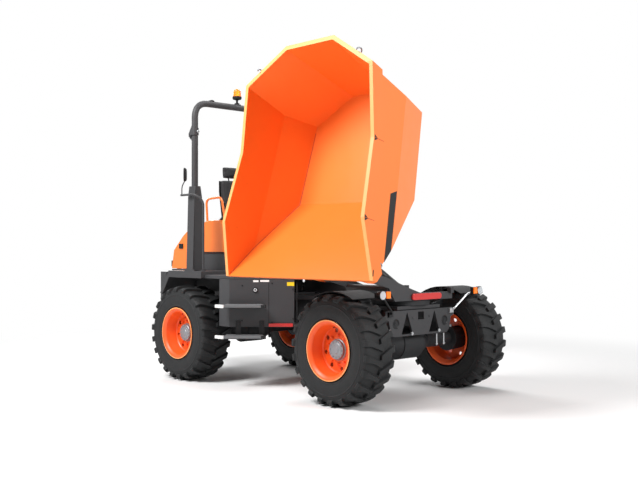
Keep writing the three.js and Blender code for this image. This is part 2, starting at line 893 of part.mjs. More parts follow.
// The space that the post's outer face takes, kept clear by the clamp.
function rightPostFace() {
  return block([ROPS_X - 80, ROPS_X + 80], [-ROPS_Y - 56 - GAP, -ROPS_Y], [2060, 2160]);
}

function rightMirror() {
  const [y, z] = [-ROPS_Y - 80, MIRROR_Z + GAP];
  return block([MIRROR_X - 18, MIRROR_X + 18], [y - 62, y + 62], [z, z + 170]);
}

for (const [side, sign] of SIDES) {
  const fit = sign < 0 ? (solid) => solid : mirrored;
  put(machine, "rops_post_" + side, fit(rightPost()), DARK, 0.5);
  put(machine, "handrail_" + side, fit(rightHandrail()), RUBBER, 0.5);
  put(machine, "mirror_" + side, fit(rightMirror()), RUBBER, 0.5);
}
put(machine, "rops_hoop", ropsHoop(), DARK, 0.5);
put(machine, "beacon", beacon(), 0xff9a1a, 0.3);

// ---------- front chassis ----------

const NECK_BOTTOM = YOKE_BOTTOM[1] + RUNNING;
const NECK_TOP = YOKE_TOP[0] - RUNNING;

function frontFrame() {
  const hub = bar([0, 0, NECK_BOTTOM], [0, 0, NECK_TOP], PIVOT_RADIUS - 10, 28);
  const neck = block([0, 520], [-85, 85], [NECK_BOTTOM, NECK_TOP - 30]);
  const rail = sidePlate(
    [
      [600, FRONT_RAIL_BOTTOM],
      [FRONT_END_X - GAP, FRONT_RAIL_BOTTOM],
      [FRONT_END_X - GAP, FRONT_RAIL_TOP - 15],
      [600, FRONT_RAIL_TOP],
      [520, 800],
    ],
    RAIL_HALF,
    RAIL_HALF + RAIL_THICK,
  );
  const knee = planPlate(
    [
      [180, -85],
      [600, -RAIL_HALF - RAIL_THICK],
      [640, -RAIL_HALF - RAIL_THICK],
      [640, RAIL_HALF + RAIL_THICK],
      [600, RAIL_HALF + RAIL_THICK],
      [180, 85],
    ],
    NECK_BOTTOM + 20,
    NECK_BOTTOM + 50,
  );
  const kneeTop = moved(knee, 0, 0, 170);
  const bulkhead = block([510, 545], [-250, 250], [FRONT_RAIL_BOTTOM + 40, NECK_TOP - 30]);
  const top = planPlate(
    [
      [700, -RAIL_HALF - RAIL_THICK],
      [FRONT_END_X - 1, -RAIL_HALF - RAIL_THICK],
      [FRONT_END_X - 1, RAIL_HALF + RAIL_THICK],
      [700, RAIL_HALF + RAIL_THICK],
    ],
    FRONT_RAIL_TOP - 5,
    RING_BOTTOM - GAP,
  );
  const bore = bar([0, 0, NECK_BOTTOM - 1], [0, 0, NECK_TOP + 1], PIVOT_PIN + PIN_GAP, 24);
  const ear = steerLugs(STEER_EYE, 680, FRONT_RAIL_BOTTOM + 20);
  return cut(join(hub, neck, bothSides(rail), knee, kneeTop, bulkhead, top, ear), bore);
}

const PLATE_THICK = 25;

function frontPlate() {
  const half = [
    [530, 890],
    [530, 812],
    [485, 800],
    [450, 672],
    [410, 636],
  ];
  const other = half.map(([y, z]) => [-y, z]).reverse();
  const plate = facePlate([...half, ...other].reverse(), FRONT_END_X, FRONT_END_X + PLATE_THICK);
  const through = [FRONT_END_X - 10, FRONT_END_X + PLATE_THICK + 15];
  const hole = bar([through[0], 376, 762], [through[1], 376, 762], 50, 24);
  const notch = facePlate(
    [
      [125, 655],
      [295, 655],
      [212, 872],
    ],
    ...through,
  );
  const socket = block(through, [-45, 45], [790, 868]);
  return cut(plate, bothSides(hole), bothSides(notch), socket);
}

function rightFrontFender() {
  const [low, high] = [TYRE_RADIUS + 12, TYRE_RADIUS + 22];
  const arc = [];
  const steps = 8;
  const [from, to] = [degrees(62), degrees(120)];
  const point = (radius, angle) => [
    FRONT_X + radius * Math.cos(angle),
    TYRE_RADIUS + radius * Math.sin(angle),
  ];
  for (let i = 0; i <= steps; i += 1) arc.push(point(high, from + ((to - from) * i) / steps));
  for (let i = steps; i >= 0; i -= 1) arc.push(point(low, from + ((to - from) * i) / steps));
  const shell = sidePlate(arc, -1010, -620);
  const seat = -RAIL_HALF - RAIL_THICK - GAP;
  const crown = TYRE_RADIUS + low + 5;
  const arm = facePlate(
    [
      [seat, 830],
      [seat, 885],
      [-590, 950],
      [-600, crown],
      [-650, crown],
      [-650, crown - 60],
      [-625, 905],
    ],
    FRONT_X - 14,
    FRONT_X + 14,
  );
  return join(shell, arm);
}

function rightHeadlight() {
  const face = FRONT_END_X + PLATE_THICK;
  const [x, y, z] = [face + 155, -755, 1065];
  const stalk = bentTube(
    [
      [face + 17, -470, 860],
      [face + 45, -485, 885],
      [face + 85, -660, 1040],
      [face + 105, -755, 1050],
    ],
    11,
    50,
    8,
    12,
  );
  const foot = block([face + GAP, face + 25], [-500, -440], [835, 885]);
  const shell = bar([x - 60, y, z], [x + 20, y, z], 34, 20, 46);
  const lamp = block([x - 30, x + 22], [y + 40, y + 110], [z - 40, z + 40]);
  const bracket = block([x - 70, x - 50], [y - 30, y + 110], [z - 30, z + 25]);
  return join(stalk, foot, shell, lamp, bracket);
}

function slewRing() {
  const ring = bar([SLEW_X, 0, RING_BOTTOM], [SLEW_X, 0, RING_TOP], RING_RADIUS, 32);
  const bore = bar([SLEW_X, 0, RING_BOTTOM - 1], [SLEW_X, 0, RING_TOP + 1], 190, 24);
  return cut(ring, bore);
}

put(machine, "front_frame", frontFrame(), DARK, 0.55);
put(machine, "front_plate", frontPlate(), DARK, 0.55);
put(machine, "slew_ring", slewRing(), STEEL, 0.5);
for (const [side, sign] of SIDES) {
  const fit = sign < 0 ? (solid) => solid : mirrored;
  put(machine, "front_fender_" + side, fit(rightFrontFender()), RUBBER, 0.6);
  put(machine, "headlight_" + side, fit(rightHeadlight()), DARK, 0.5);
}

// The red bar that blocks the articulation, stowed on the right side panel.
function lockBar() {
  const wall = PANEL_OFFSET + 1.5 * GAP;
  const corner = (x, out) => [x + out, x - wall - out];
  const outline = [corner(-125, 0), corner(60, 0), corner(60, 14), corner(-125, 14)];
  return planPlate(outline, 655, 690);
}
put(machine, "lock_bar", lockBar(), 0xc8241c, 0.5);

// ---------- steering cylinder ----------

// A hollow barrel and its rod between two points; the rod's inner end stays inside.
function cylinderPair(base, eye, barrelLength, radius, rodRadius, rodLength) {
  const from = new THREE.Vector3(...base);
  const to = new THREE.Vector3(...eye);
  const way = to.clone().sub(from).normalize();
  const at = (d) => from.clone().addScaledVector(way, d).toArray();
  const back = (d) => to.clone().addScaledVector(way, -d).toArray();
  const across = new THREE.Vector3(0, 0, 1);
  if (Math.abs(way.y) < 1e-6) across.set(0, 1, 0);
  const eyeHalf = radius * EYE_SHARE;
  const neckEnd = radius * 1.9;
  const ring = (centre) => {
    const middle = new THREE.Vector3(...centre);
    const a = middle.clone().addScaledVector(across, -eyeHalf).toArray();
    const b = middle.clone().addScaledVector(across, eyeHalf).toArray();
    return cut(bar(a, b, radius * 0.95, 20), bar(a, b, radius * PIN_SHARE + PIN_GAP, 20));
  };
  const neck = bar(at(radius * 0.4), at(neckEnd + 5), radius * 0.5, 16);
  const tube = bar(at(neckEnd), at(barrelLength), radius, 24);
  const bore = bar(at(neckEnd + 20), at(barrelLength - 30), rodRadius + 4, 20);
  const mouth = bar(at(neckEnd + 30), at(barrelLength + 5), rodRadius + 0.6, 20);
  const barrel = join(neck, cut(tube, bore, mouth), ring(base));
  const rod = join(bar(back(rodLength), back(radius * 0.4), rodRadius, 18), ring(eye));
  return { barrel, rod };
}

const steer = cylinderPair(
  STEER_BASE,
  STEER_EYE,
  600,
  STEER_BARREL_RADIUS,
  STEER_ROD_RADIUS,
  560,
);
put(machine, "steer_cylinder", steer.barrel, DARK, 0.5);
put(machine, "steer_rod", steer.rod, STEEL, 0.25, 0.8);

// ---------- slewing frame ----------

const RAIL_Y = ARM_HALF + ARM_THICK + 3 + RUNNING; // inner face of the skip's under-rails

function slewFrame() {
  const top = HINGE_Z + HINGE_BOSS;
  const arm = sidePlate(
    [
      [-470, RING_TOP + GAP],
      [420, RING_TOP + GAP],
      [510, 1118],
      [HINGE_FORWARD - 30, HINGE_Z - HINGE_BOSS + 4],
      [HINGE_FORWARD + 20, HINGE_Z - HINGE_BOSS + 4],
      [HINGE_FORWARD + 50, HINGE_Z - 15],
      [HINGE_FORWARD + 50, HINGE_Z + 15],
      [HINGE_FORWARD + 20, top - 4],
      [HINGE_FORWARD - 60, top - 8],
      [550, 1228],
      [377, 1168],
      [198, 1108],
      [40, 1060],
      [-470, 1056],
    ],
    ARM_HALF,
    ARM_HALF + ARM_THICK,
  );
  const boss = bar(
    [HINGE_FORWARD, ARM_HALF - 12, HINGE_Z],
    [HINGE_FORWARD, ARM_HALF + ARM_THICK + 3, HINGE_Z],
    HINGE_BOSS,
    24,
  );
  const pin = bar(
    [HINGE_FORWARD, ARM_HALF, HINGE_Z],
    [HINGE_FORWARD, ARM_HALF + ARM_THICK + 60, HINGE_Z],
    HINGE_PIN,
    20,
  );
  const floor = cut(
    block([-470, 430], [-ARM_HALF - 5, ARM_HALF + 5], [RING_TOP + GAP, RING_TOP + 25]),
    block([TIP_BASE[0] - 70, TIP_BASE[0] + 220], [-RAM_SLOT, RAM_SLOT], [RING_TOP - 5, RING_TOP + 60]),
  );
  const ear = sidePlate(
    [
      [TIP_BASE[0] - 100, RING_TOP + GAP],
      [TIP_BASE[0] - 100, RING_TOP + 50],
      [TIP_BASE[0] + 10, TIP_BASE[1] + 40],
      [TIP_BASE[0] + 34, TIP_BASE[1] + 10],
      [TIP_BASE[0] + 20, TIP_BASE[1] - 28],
      [TIP_BASE[0] - 20, TIP_BASE[1] - 28],
      [TIP_BASE[0] - 62, RING_TOP + GAP],
    ].reverse(),
    TIP_LUG_GAP + RUNNING,
    RAM_SLOT - 1,
  );
  const tipPin = bar(
    [TIP_BASE[0], -TIP_LUG_GAP - RUNNING - 10, TIP_BASE[1]],
    [TIP_BASE[0], TIP_LUG_GAP + RUNNING + 10, TIP_BASE[1]],
    TIP_BARREL_RADIUS * PIN_SHARE,
    16,
  );
  const restPad = block([-460, -410], [ARM_HALF + 5, RAIL_Y + 22], [1045, 1104]);
  const tie = bar(
    [480, -ARM_HALF - 5, 1110],
    [480, ARM_HALF + 5, 1110],
    34,
    20,
  );
  return join(bothSides(join(arm, boss, pin, restPad)), floor, bothSides(ear), tie, tipPin);
}

// The red safety prop, stowed on the slewing frame's side plate.
function skipProp() {
  const y = ARM_HALF + ARM_THICK + GAP;
  const [z, r] = [1022, 32];
  const middle = block([-240, 150], [y, y + 22], [z - r, z + r]);
  const end = (x) => bar([x, y, z], [x, y + 22, z], r, 20);
  return join(middle, end(-240), end(150));
}

put(slewing, "slew_frame", slewFrame(), DARK, 0.5);
put(slewing, "skip_prop", skipProp(), 0xc8241c, 0.5);

const tipEyeAtRest = (() => {
  const a = degrees(SKIP_ANGLE);
  const [v, w] = TIP_EYE;
  return [
    HINGE_FORWARD + v * Math.cos(a) + w * Math.sin(a),
    0,
    HINGE_Z - v * Math.sin(a) + w * Math.cos(a),
  ];
})();
const tip = cylinderPair(
  [TIP_BASE[0], 0, TIP_BASE[1]],
  tipEyeAtRest,
  TIP_CLOSED - 58,
  TIP_BARREL_RADIUS,
  TIP_ROD_RADIUS,
  TIP_CLOSED - 113,
);
put(slewing, "tip_cylinder", tip.barrel, DARK, 0.5);
put(slewing, "tip_rod", tip.rod, STEEL, 0.25, 0.8);

// ---------- skip ----------

const lowerHalf = (x, z) =>
  SKIP_HALF + SKIP_FLARE * (x - SKIP_SPOUT_X) + LOWER_LEAN * (z - SKIP_FLOOR_Z);
const upperHalf = (x, z) => lowerHalf(x, CREASE_Z) + UPPER_LEAN * (z - CREASE_Z);

// The plane through three points of a wall's inner face, with its normal pointing out.
function wallThrough(points) {
  const corners = points.map((point) => new THREE.Vector3(...point));
  const plane = new THREE.Plane().setFromCoplanarPoints(...corners);
  const within = new THREE.Vector3(SKIP_SPOUT_X, 0, CREASE_Z);
  return plane.distanceToPoint(within) < 0 ? plane : plane.negate();
}

const sideWall = (half, x, z) =>
  wallThrough([
    [x, half(x, z), z],
    [x, half(x, z + 100), z + 100],
    [x + 100, half(x + 100, z), z],
  ]);

function skipWalls() {
  const rimZ = RIM[3][1];
  const sides = [
    sideWall(lowerHalf, SKIP_SPOUT_X, SKIP_FLOOR_Z),
    sideWall(upperHalf, SKIP_SPOUT_X, CREASE_Z),
    wallThrough([
      [SKIP_FLOOR_BACK_X, lowerHalf(SKIP_FLOOR_BACK_X, SKIP_FLOOR_Z), SKIP_FLOOR_Z],
      [SKIP_BACK_X, SKIP_CORNER_HALF, SKIP_FLOOR_Z],
      [SKIP_CORNER_X, upperHalf(SKIP_CORNER_X, rimZ), rimZ],
    ]),
  ];
  const middle = [
    new THREE.Vector3(0, 0, -1),
    new THREE.Vector3(SPOUT_SLOPE, 0, -1).normalize(),
    new THREE.Vector3(-1, 0, -BACK_LEAN).normalize(),
  ];
  const through = [SKIP_SPOUT_X, SKIP_SPOUT_X, SKIP_BACK_X];
  return [
    ...sides.flatMap(({ normal: { x, y, z }, constant }) => [
      { normal: [x, y, z], reach: -constant },
      { normal: [x, -y, z], reach: -constant },
    ]),
    ...middle.map((normal, i) => ({
      normal: normal.toArray(),
      reach: normal.dot(new THREE.Vector3(through[i], 0, SKIP_FLOOR_Z)),
    })),
  ];
}

// The skip's body up to a high level, grown outwards by a plate thickness.
const skipBody = (grow) =>
  skipWalls().reduce(
    (body, { normal, reach }) => body.trimByPlane(normal.map((n) => -n), -(reach + grow)),
    block([-2600, 800], [-1300, 1300], [-100, 1300]),
  );

// Everything below the rim line lowered by a drop.
function belowRim(drop) {
  const line = RIM.map(([x, z]) => [x, z - drop]);
  const front = line[0];
  const back = line[line.length - 1];
  const outline = [
    [front[0], -400],
    front,
    ...line.slice(1),
    [back[0] - 300, back[1]],
    [back[0] - 300, -400],
  ];
  return sidePlate(outline, -1400, 1400);
}

// Half way through the spout's plate.
const underSpout = (x) => SKIP_FLOOR_Z - SKIP_PLATE / 2 + SPOUT_SLOPE * (x - SKIP_SPOUT_X);

function skipGusset() {
  const plate = sidePlate(
    [
      [-60, -50],
      [30, -50],
      [52, -10],
      [60, 60],
      [60, underSpout(60)],
      [SKIP_SPOUT_X, SKIP_FLOOR_Z - 5],
      [-1270, SKIP_FLOOR_Z - 5],
      [-1250, -8],
      [SKIP_SPOUT_X, -8],
    ],
    RAIL_Y,
    RAIL_Y + 22,
  );
  const bore = bar([0, RAIL_Y - 5, 0], [0, RAIL_Y + 30, 0], HINGE_PIN + PIN_GAP, 20);
  const window = sidePlate(
    [
      [-30, 120],
      [10, 330],
      [-330, 110],
      [-330, 60],
    ].reverse(),
    RAIL_Y - 5,
    RAIL_Y + 30,
  );
  return cut(plate, bore, window);
}

function tipLugs() {
  const [x, z] = TIP_EYE;
  const y0 = TIP_LUG_GAP + RUNNING;
  const lug = sidePlate(
    [
      [x - 120, underSpout(x - 120)],
      [x - 45, z - 35],
      [x + 45, z - 35],
      [x + 60, underSpout(x + 60)],
    ].reverse(),
    y0,
    y0 + 20,
  );
  return bothSides(lug);
}

function skipSolid() {
  const inner = skipBody(0);
  const outer = skipBody(SKIP_PLATE).intersect(belowRim(0));
  const band = skipBody(SKIP_PLATE + BAND_PROUD).intersect(belowRim(0)).subtract(belowRim(BAND_DEPTH));
  const tub = cut(join(outer, band), inner);
  return join(tub, bothSides(skipGusset()), tipLugs());
}

put(tipping, "skip", skipSolid(), ORANGE, 0.4);

// ---------- origin under the middle of the machine's box ----------

const model = new THREE.Group();
model.add(machine);
model.updateMatrixWorld(true);
const whole = new THREE.Box3().setFromObject(model, true);
const middle = whole.getCenter(new THREE.Vector3());
machine.position.set(-middle.x, -middle.y, 0);

export default model;
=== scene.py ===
"""Looks of an articulated site dumper with its skip swung right and tipped.

Metres, +X forward, +Y to the machine's left, +Z up. Pieces are made in machine
coordinates, whose origin is on the ground under the articulation pivot, and are then
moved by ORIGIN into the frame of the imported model.
"""

import json
import math

import bmesh
import bpy
from mathutils import Matrix, Vector


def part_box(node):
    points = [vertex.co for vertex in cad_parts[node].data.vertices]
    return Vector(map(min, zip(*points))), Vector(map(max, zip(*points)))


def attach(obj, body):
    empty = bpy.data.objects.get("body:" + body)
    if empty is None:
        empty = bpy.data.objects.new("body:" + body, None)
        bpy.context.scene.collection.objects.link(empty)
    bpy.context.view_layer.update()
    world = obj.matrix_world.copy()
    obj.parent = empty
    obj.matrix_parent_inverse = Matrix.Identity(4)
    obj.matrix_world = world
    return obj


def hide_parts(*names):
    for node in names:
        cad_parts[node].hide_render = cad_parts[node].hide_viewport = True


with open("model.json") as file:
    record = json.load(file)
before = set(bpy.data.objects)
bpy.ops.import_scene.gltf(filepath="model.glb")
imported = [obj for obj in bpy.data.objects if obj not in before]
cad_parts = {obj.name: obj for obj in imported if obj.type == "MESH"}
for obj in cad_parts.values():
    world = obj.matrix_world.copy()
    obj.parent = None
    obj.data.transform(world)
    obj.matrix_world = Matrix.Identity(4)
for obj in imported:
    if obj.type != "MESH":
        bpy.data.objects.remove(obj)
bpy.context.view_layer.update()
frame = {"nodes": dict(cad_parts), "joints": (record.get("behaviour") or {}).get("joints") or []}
NODES = frame["nodes"]
JOINTS = {joint["name"]: joint for joint in frame["joints"]}

# ---------- places, from the frame ----------


def joint_point(name):
    return Vector(JOINTS[name]["pos_m"])


PIVOT = joint_point("articulation_steer")
ORIGIN = Vector((PIVOT.x, PIVOT.y, 0))
TIP_HINGE = joint_point("skip_tip") - ORIGIN
SLEW_ANGLE = math.radians(-90)
SKIP_ANGLE = math.radians(77.1)

MACHINE = Matrix.Translation(ORIGIN)
SKIP = (
    MACHINE
    @ Matrix.Translation(TIP_HINGE)
    @ Matrix.Rotation(SLEW_ANGLE, 4, "Z")
    @ Matrix.Rotation(SKIP_ANGLE, 4, "Y")
)

SIDES = (("right", -1), ("left", 1))
ENDS = (("front", 1.233), ("rear", -1.233))
TYRE_RADIUS = 0.5375
WHEEL_Y = 0.8865
ROPS_X = -1.14
ROPS_Y = 0.895

# ---------- camera, stage and light ----------

CAMERA_PLACE = (7.465, -7.129, 1.513)
CAMERA_YAW = math.radians(136.375)
CAMERA_PITCH = math.radians(0.468)
FOCAL_SHARE = 918.4 / 638  # focal length over image width


SENSOR = 36  # millimetres


def add_object(name, data):
    made = bpy.data.objects.new(name, data)
    bpy.context.scene.collection.objects.link(made)
    return made


def aim(thing, place, way):
    """Puts a camera or a light at a place, looking that way."""
    thing.location = place
    thing.rotation_mode = "QUATERNION"
    thing.rotation_quaternion = way.to_track_quat("-Z", "Y")


def add_camera():
    data = bpy.data.cameras.new("camera")
    data.sensor_width = SENSOR
    data.lens = SENSOR * FOCAL_SHARE
    camera = add_object("camera", data)
    level = math.cos(CAMERA_PITCH)
    way = Vector((math.cos(CAMERA_YAW) * level, math.sin(CAMERA_YAW) * level,
                  math.sin(CAMERA_PITCH)))
    aim(camera, ORIGIN + Vector(CAMERA_PLACE), way)
    bpy.context.scene.camera = camera


# Name, place, target, the two sides in metres, and power in watts.
LIGHTS = (
    ("key", (-0.5, -5.6, 6.6), (0.4, -0.3, 1.6), (3, 3), 800),
    ("side", (8.5, 1.0, 4.2), (0.8, 0, 1.6), (3, 3), 400),
    ("rear", (-6.5, 3.0, 4.5), (-0.8, 0, 1.2), (4, 3), 320),
    ("top", (0.3, 2.4, 7.5), (0.3, 0.4, 1.0), (4, 4), 220),
)


def add_light(name, place, target, size, power):
    data = bpy.data.lights.new(name, "AREA")
    data.shape = "RECTANGLE"
    data.size, data.size_y = size
    data.energy = power
    aim(add_object(name, data), place, Vector(target) - Vector(place))


def new_finish(name, numbers):
    """A material with those numbers on its shader's own sockets."""
    made = bpy.data.materials.new(name)
    made.use_nodes = True
    shader = made.node_tree.nodes["Principled BSDF"]
    for socket, number in numbers.items():
        shader.inputs[socket].default_value = number
    return made, made.node_tree, shader


def math_node(tree, operation, first, second):
    node = tree.nodes.new("ShaderNodeMath")
    node.operation = operation
    tree.links.new(first, node.inputs[0])
    tree.links.new(second, node.inputs[1])
    return node.outputs[0]


def ranged(tree, value, low, high, to_low=0.0, to_high=1.0, smooth=False):
    """Maps a value from low..high to to_low..to_high."""
    node = tree.nodes.new("ShaderNodeMapRange")
    if smooth:
        node.interpolation_type = "SMOOTHSTEP"
    numbers = {"From Min": low, "From Max": high, "To Min": to_low, "To Max": to_high}
    for socket, number in numbers.items():
        node.inputs[socket].default_value = number
    tree.links.new(value, node.inputs["Value"])
    return node.outputs["Result"]


def white_for_rays(tree):
    """1 for camera, mirror and glass rays, 0 for light that reaches surfaces."""
    rays = tree.nodes.new("ShaderNodeLightPath").outputs
    seen = math_node(tree, "MAXIMUM", rays["Is Camera Ray"], rays["Is Glossy Ray"])
    return math_node(tree, "MAXIMUM", seen, rays["Is Transmission Ray"])


WORLD_FILL = 0.15  # strength of the world's light on surfaces


def add_world():
    world = bpy.data.worlds.new("studio")
    world.use_nodes = True
    tree = world.node_tree
    background = tree.nodes["Background"]
    background.inputs["Color"].default_value = (1, 1, 1, 1)
    strength = ranged(tree, white_for_rays(tree), 0, 1, WORLD_FILL, 1.0)
    tree.links.new(strength, background.inputs["Strength"])
    bpy.context.scene.world = world


FLOOR_NEAR = 3.2  # the floor is plain out to here, and white from FLOOR_FAR
FLOOR_FAR = 7.5
FLOOR_REACH = 60


def add_floor():
    mesh = bpy.data.meshes.new("floor")
    signs = ((-1, -1), (1, -1), (1, 1), (-1, 1))
    corners = [(x * FLOOR_REACH, y * FLOOR_REACH, 0) for x, y in signs]
    mesh.from_pydata(corners, [], [(0, 1, 2, 3)])
    floor = add_object("floor", mesh)
    finish, tree, matt = new_finish("floor", {
        "Base Color": (0.86, 0.86, 0.86, 1), "Roughness": 0.9, "Specular IOR Level": 0.1,
    })
    glow = tree.nodes.new("ShaderNodeEmission")
    place = tree.nodes.new("ShaderNodeTexCoord")
    distance = tree.nodes.new("ShaderNodeVectorMath")
    distance.operation = "LENGTH"
    tree.links.new(place.outputs["Object"], distance.inputs[0])
    fade = ranged(tree, distance.outputs["Value"], FLOOR_NEAR, FLOOR_FAR, smooth=True)
    mix = tree.nodes.new("ShaderNodeMixShader")
    seen = math_node(tree, "MULTIPLY", fade, white_for_rays(tree))
    tree.links.new(seen, mix.inputs["Fac"])
    tree.links.new(matt.outputs[0], mix.inputs[1])
    tree.links.new(glow.outputs[0], mix.inputs[2])
    tree.links.new(mix.outputs[0], tree.nodes["Material Output"].inputs["Surface"])
    mesh.materials.append(finish)


bpy.context.scene.view_settings.view_transform = "Standard"
add_camera()
for light in LIGHTS:
    add_light(*light)
add_world()
add_floor()

# ---------- finishes ----------


def linear(code):
    """A colour code such as 0xf26a1b as linear values."""
    shares = [((code >> shift) & 255) / 255 for shift in (16, 8, 0)]
    return [s / 12.92 if s < 0.04045 else ((s + 0.055) / 1.055) ** 2.4 for s in shares]


def noise(tree, scale, kind="ShaderNodeTexNoise"):
    place = tree.nodes.new("ShaderNodeTexCoord")
    texture = tree.nodes.new(kind)
    texture.inputs["Scale"].default_value = scale
    if kind == "ShaderNodeTexNoise":
        texture.inputs["Detail"].default_value = 3
    tree.links.new(place.outputs["Object"], texture.inputs["Vector"])
    return texture.outputs[0]


def mixed(tree, factor, first, second):
    """Blends two colours; each is a list of three numbers or a socket."""
    node = tree.nodes.new("ShaderNodeMix")
    node.data_type = "RGBA"
    for socket, colour in (("A", first), ("B", second)):
        if isinstance(colour, list):
            node.inputs[socket].default_value = colour + [1]
        else:
            tree.links.new(colour, node.inputs[socket])
    tree.links.new(factor, node.inputs["Factor"])
    return node.outputs["Result"]


def finish_of(name, code, roughness, metallic=0, vary=0.08, patches=2.5, grain=None, coat=0,
              kind="ShaderNodeTexNoise", second=None, specular=0.5):
    """A finish with a drifting colour, uneven gloss and a fine relief.

    grain is (scale, depth in metres) of the relief; second is a second relief.
    """
    made, tree, shader = new_finish(name, {
        "Metallic": metallic, "Coat Weight": coat, "Coat Roughness": 0.12,
        "Specular IOR Level": specular,
    })
    base = linear(code)
    pale = [min(1, c * (1 + vary)) for c in base]
    colour = mixed(tree, noise(tree, patches), [c * (1 - vary) for c in base], pale)
    tree.links.new(colour, shader.inputs["Base Color"])
    gloss = ranged(tree, noise(tree, patches * 6), 0, 1, roughness * 0.85,
                   min(1, roughness * 1.15))
    tree.links.new(gloss, shader.inputs["Roughness"])
    normal = None
    for relief, texture in ((grain, kind), (second, "ShaderNodeTexNoise")):
        if relief is None:
            continue
        scale, depth = relief
        bump = tree.nodes.new("ShaderNodeBump")
        bump.inputs["Distance"].default_value = depth
        tree.links.new(noise(tree, scale, kind=texture), bump.inputs["Height"])
        if normal is not None:
            tree.links.new(normal, bump.inputs["Normal"])
        normal = bump.outputs["Normal"]
    if normal is not None:
        tree.links.new(normal, shader.inputs["Normal"])
    return made


def lens_finish(name, code, glow):
    base = linear(code)
    made, tree, shader = new_finish(name, {
        "Roughness": 0.12, "Transmission Weight": 0.35, "Emission Strength": glow,
        "Emission Color": base + [1],
    })
    colour = mixed(tree, noise(tree, 12), [c * 0.85 for c in base], base)
    tree.links.new(colour, shader.inputs["Base Color"])
    return made


RIM_LEVEL = 0.66  # the skip's rim lies above this height in its own frame


def skip_paint_with_rim_highlight():
    """Skip paint with a painted highlight: pale on the top of the rim, where the light falls on
    it.
    """
    made = finish_of("skip_orange", ORANGE, 0.4, vary=0.05, patches=1.6, grain=FINE, coat=0.15)
    tree = made.node_tree
    shader = tree.nodes["Principled BSDF"]
    place = tree.nodes.new("ShaderNodeTexCoord").outputs
    turned = SKIP.to_3x3()

    def mask(output, way, low, high):
        along = tree.nodes.new("ShaderNodeVectorMath")
        along.operation = "DOT_PRODUCT"
        along.inputs[1].default_value = way
        tree.links.new(place[output], along.inputs[0])
        return ranged(tree, along.outputs["Value"], low, high)

    up = turned @ Vector((0, 0, 1))
    level = RIM_LEVEL + up.dot(SKIP.translation)
    facing = mask("Normal", turned @ Vector((0.15, 0, 0.989)), 0.93, 0.95)
    on_rim = math_node(tree, "MULTIPLY", facing, mask("Object", up, level, level + 0.01))
    # The top faces of the rim are painted pale orange: a painted highlight where the light
    # falls.
    paint = shader.inputs["Base Color"].links[0].from_socket
    rim_highlight = mixed(tree, on_rim, paint, linear(0xF4A660))
    tree.links.new(rim_highlight, shader.inputs["Base Color"])
    return made


ORANGE = 0xF47A2A
FINE = (260, 0.00006)
PAINTED, PLASTIC, METAL, BRIGHT = "orange_paint", "black_plastic", "cast_metal", "rod_chrome"
# Name, the record's slot, colour, roughness, and the rest of finish_of's numbers.
FINISHES = (
    ("orange", PAINTED, ORANGE, 0.4, dict(vary=0.04, grain=FINE, coat=0.15)),
    ("rim_orange", PAINTED, 0xF05C1E, 0.42, dict(vary=0.04, grain=FINE)),
    # edge is a pale orange for the painted highlight on the rims' flanges.
    ("edge", PAINTED, 0xF7A25C, 0.35, dict(vary=0.05, coat=0.2)),
    ("seam", PAINTED, 0xC9541C, 0.5, dict(vary=0.1, grain=(200, 0.0002))),
    ("red", "red_paint", 0xC81E1A, 0.35, dict(vary=0.05, coat=0.3)),
    ("dark", "dark_paint", 0x38383A, 0.5, dict(vary=0.1, grain=(700, 0.0001), specular=0.35)),
    ("black", "black_paint", 0x141416, 0.42, dict(vary=0.1, grain=(500, 0.0001), specular=0.3)),
    ("plastic", PLASTIC, 0x17181A, 0.6, dict(grain=(900, 0.00025), specular=0.25)),
    ("white", PLASTIC, 0xE6E6E4, 0.4, dict(vary=0.03)),
    ("yellow", PLASTIC, 0xE8C61C, 0.4, dict(vary=0.03)),
    ("vinyl", "seat_vinyl", 0x19191B, 0.55,
     dict(grain=(420, 0.0006), kind="ShaderNodeTexVoronoi", specular=0.3)),
    ("rubber", "tyre", 0x1E1F20, 0.66,
     dict(vary=0.16, patches=9, grain=(330, 0.0004), second=(40, 0.0012), specular=0.3)),
    ("casting", METAL, 0x242527, 0.62, dict(grain=(160, 0.0009), specular=0.3)),
    ("steel", METAL, 0x8E9094, 0.42, dict(metallic=0.7, vary=0.12, grain=(300, 0.0002))),
    ("tread", METAL, 0x6C6E70, 0.5, dict(metallic=0.4, vary=0.12, grain=(300, 0.0002))),
    ("zinc", BRIGHT, 0xC4C6C8, 0.3, dict(metallic=0.9, vary=0.1, patches=30)),
    ("nitride", BRIGHT, 0x303236, 0.28, dict(metallic=0.6, vary=0.1, specular=0.3)),
    ("chrome", BRIGHT, 0xD8DADD, 0.1, dict(metallic=1.0, vary=0.02)),
    ("glass", BRIGHT, 0x565C60, 0.08, dict(metallic=1.0, vary=0.02)),
)
FINISH = {"skip_orange": skip_paint_with_rim_highlight()}
for name, slot, code, roughness, rest in FINISHES:
    FINISH[name] = finish_of(name, code, roughness, **rest)
LENSES = (("amber", 0xFF8A10, 0.25), ("ruby", 0xB8140E, 0.1), ("clear", 0xE8ECF0, 0.0))
for name, code, glow in LENSES:
    FINISH[name] = lens_finish(name, code, glow)

# ---------- shapes ----------


def turns(count, start=0.0):
    """Angles at equal steps round a circle."""
    return [start + 2 * math.pi * i / count for i in range(count)]


AXIS = 0.0005  # the radius of a lathed solid's ends on its axis


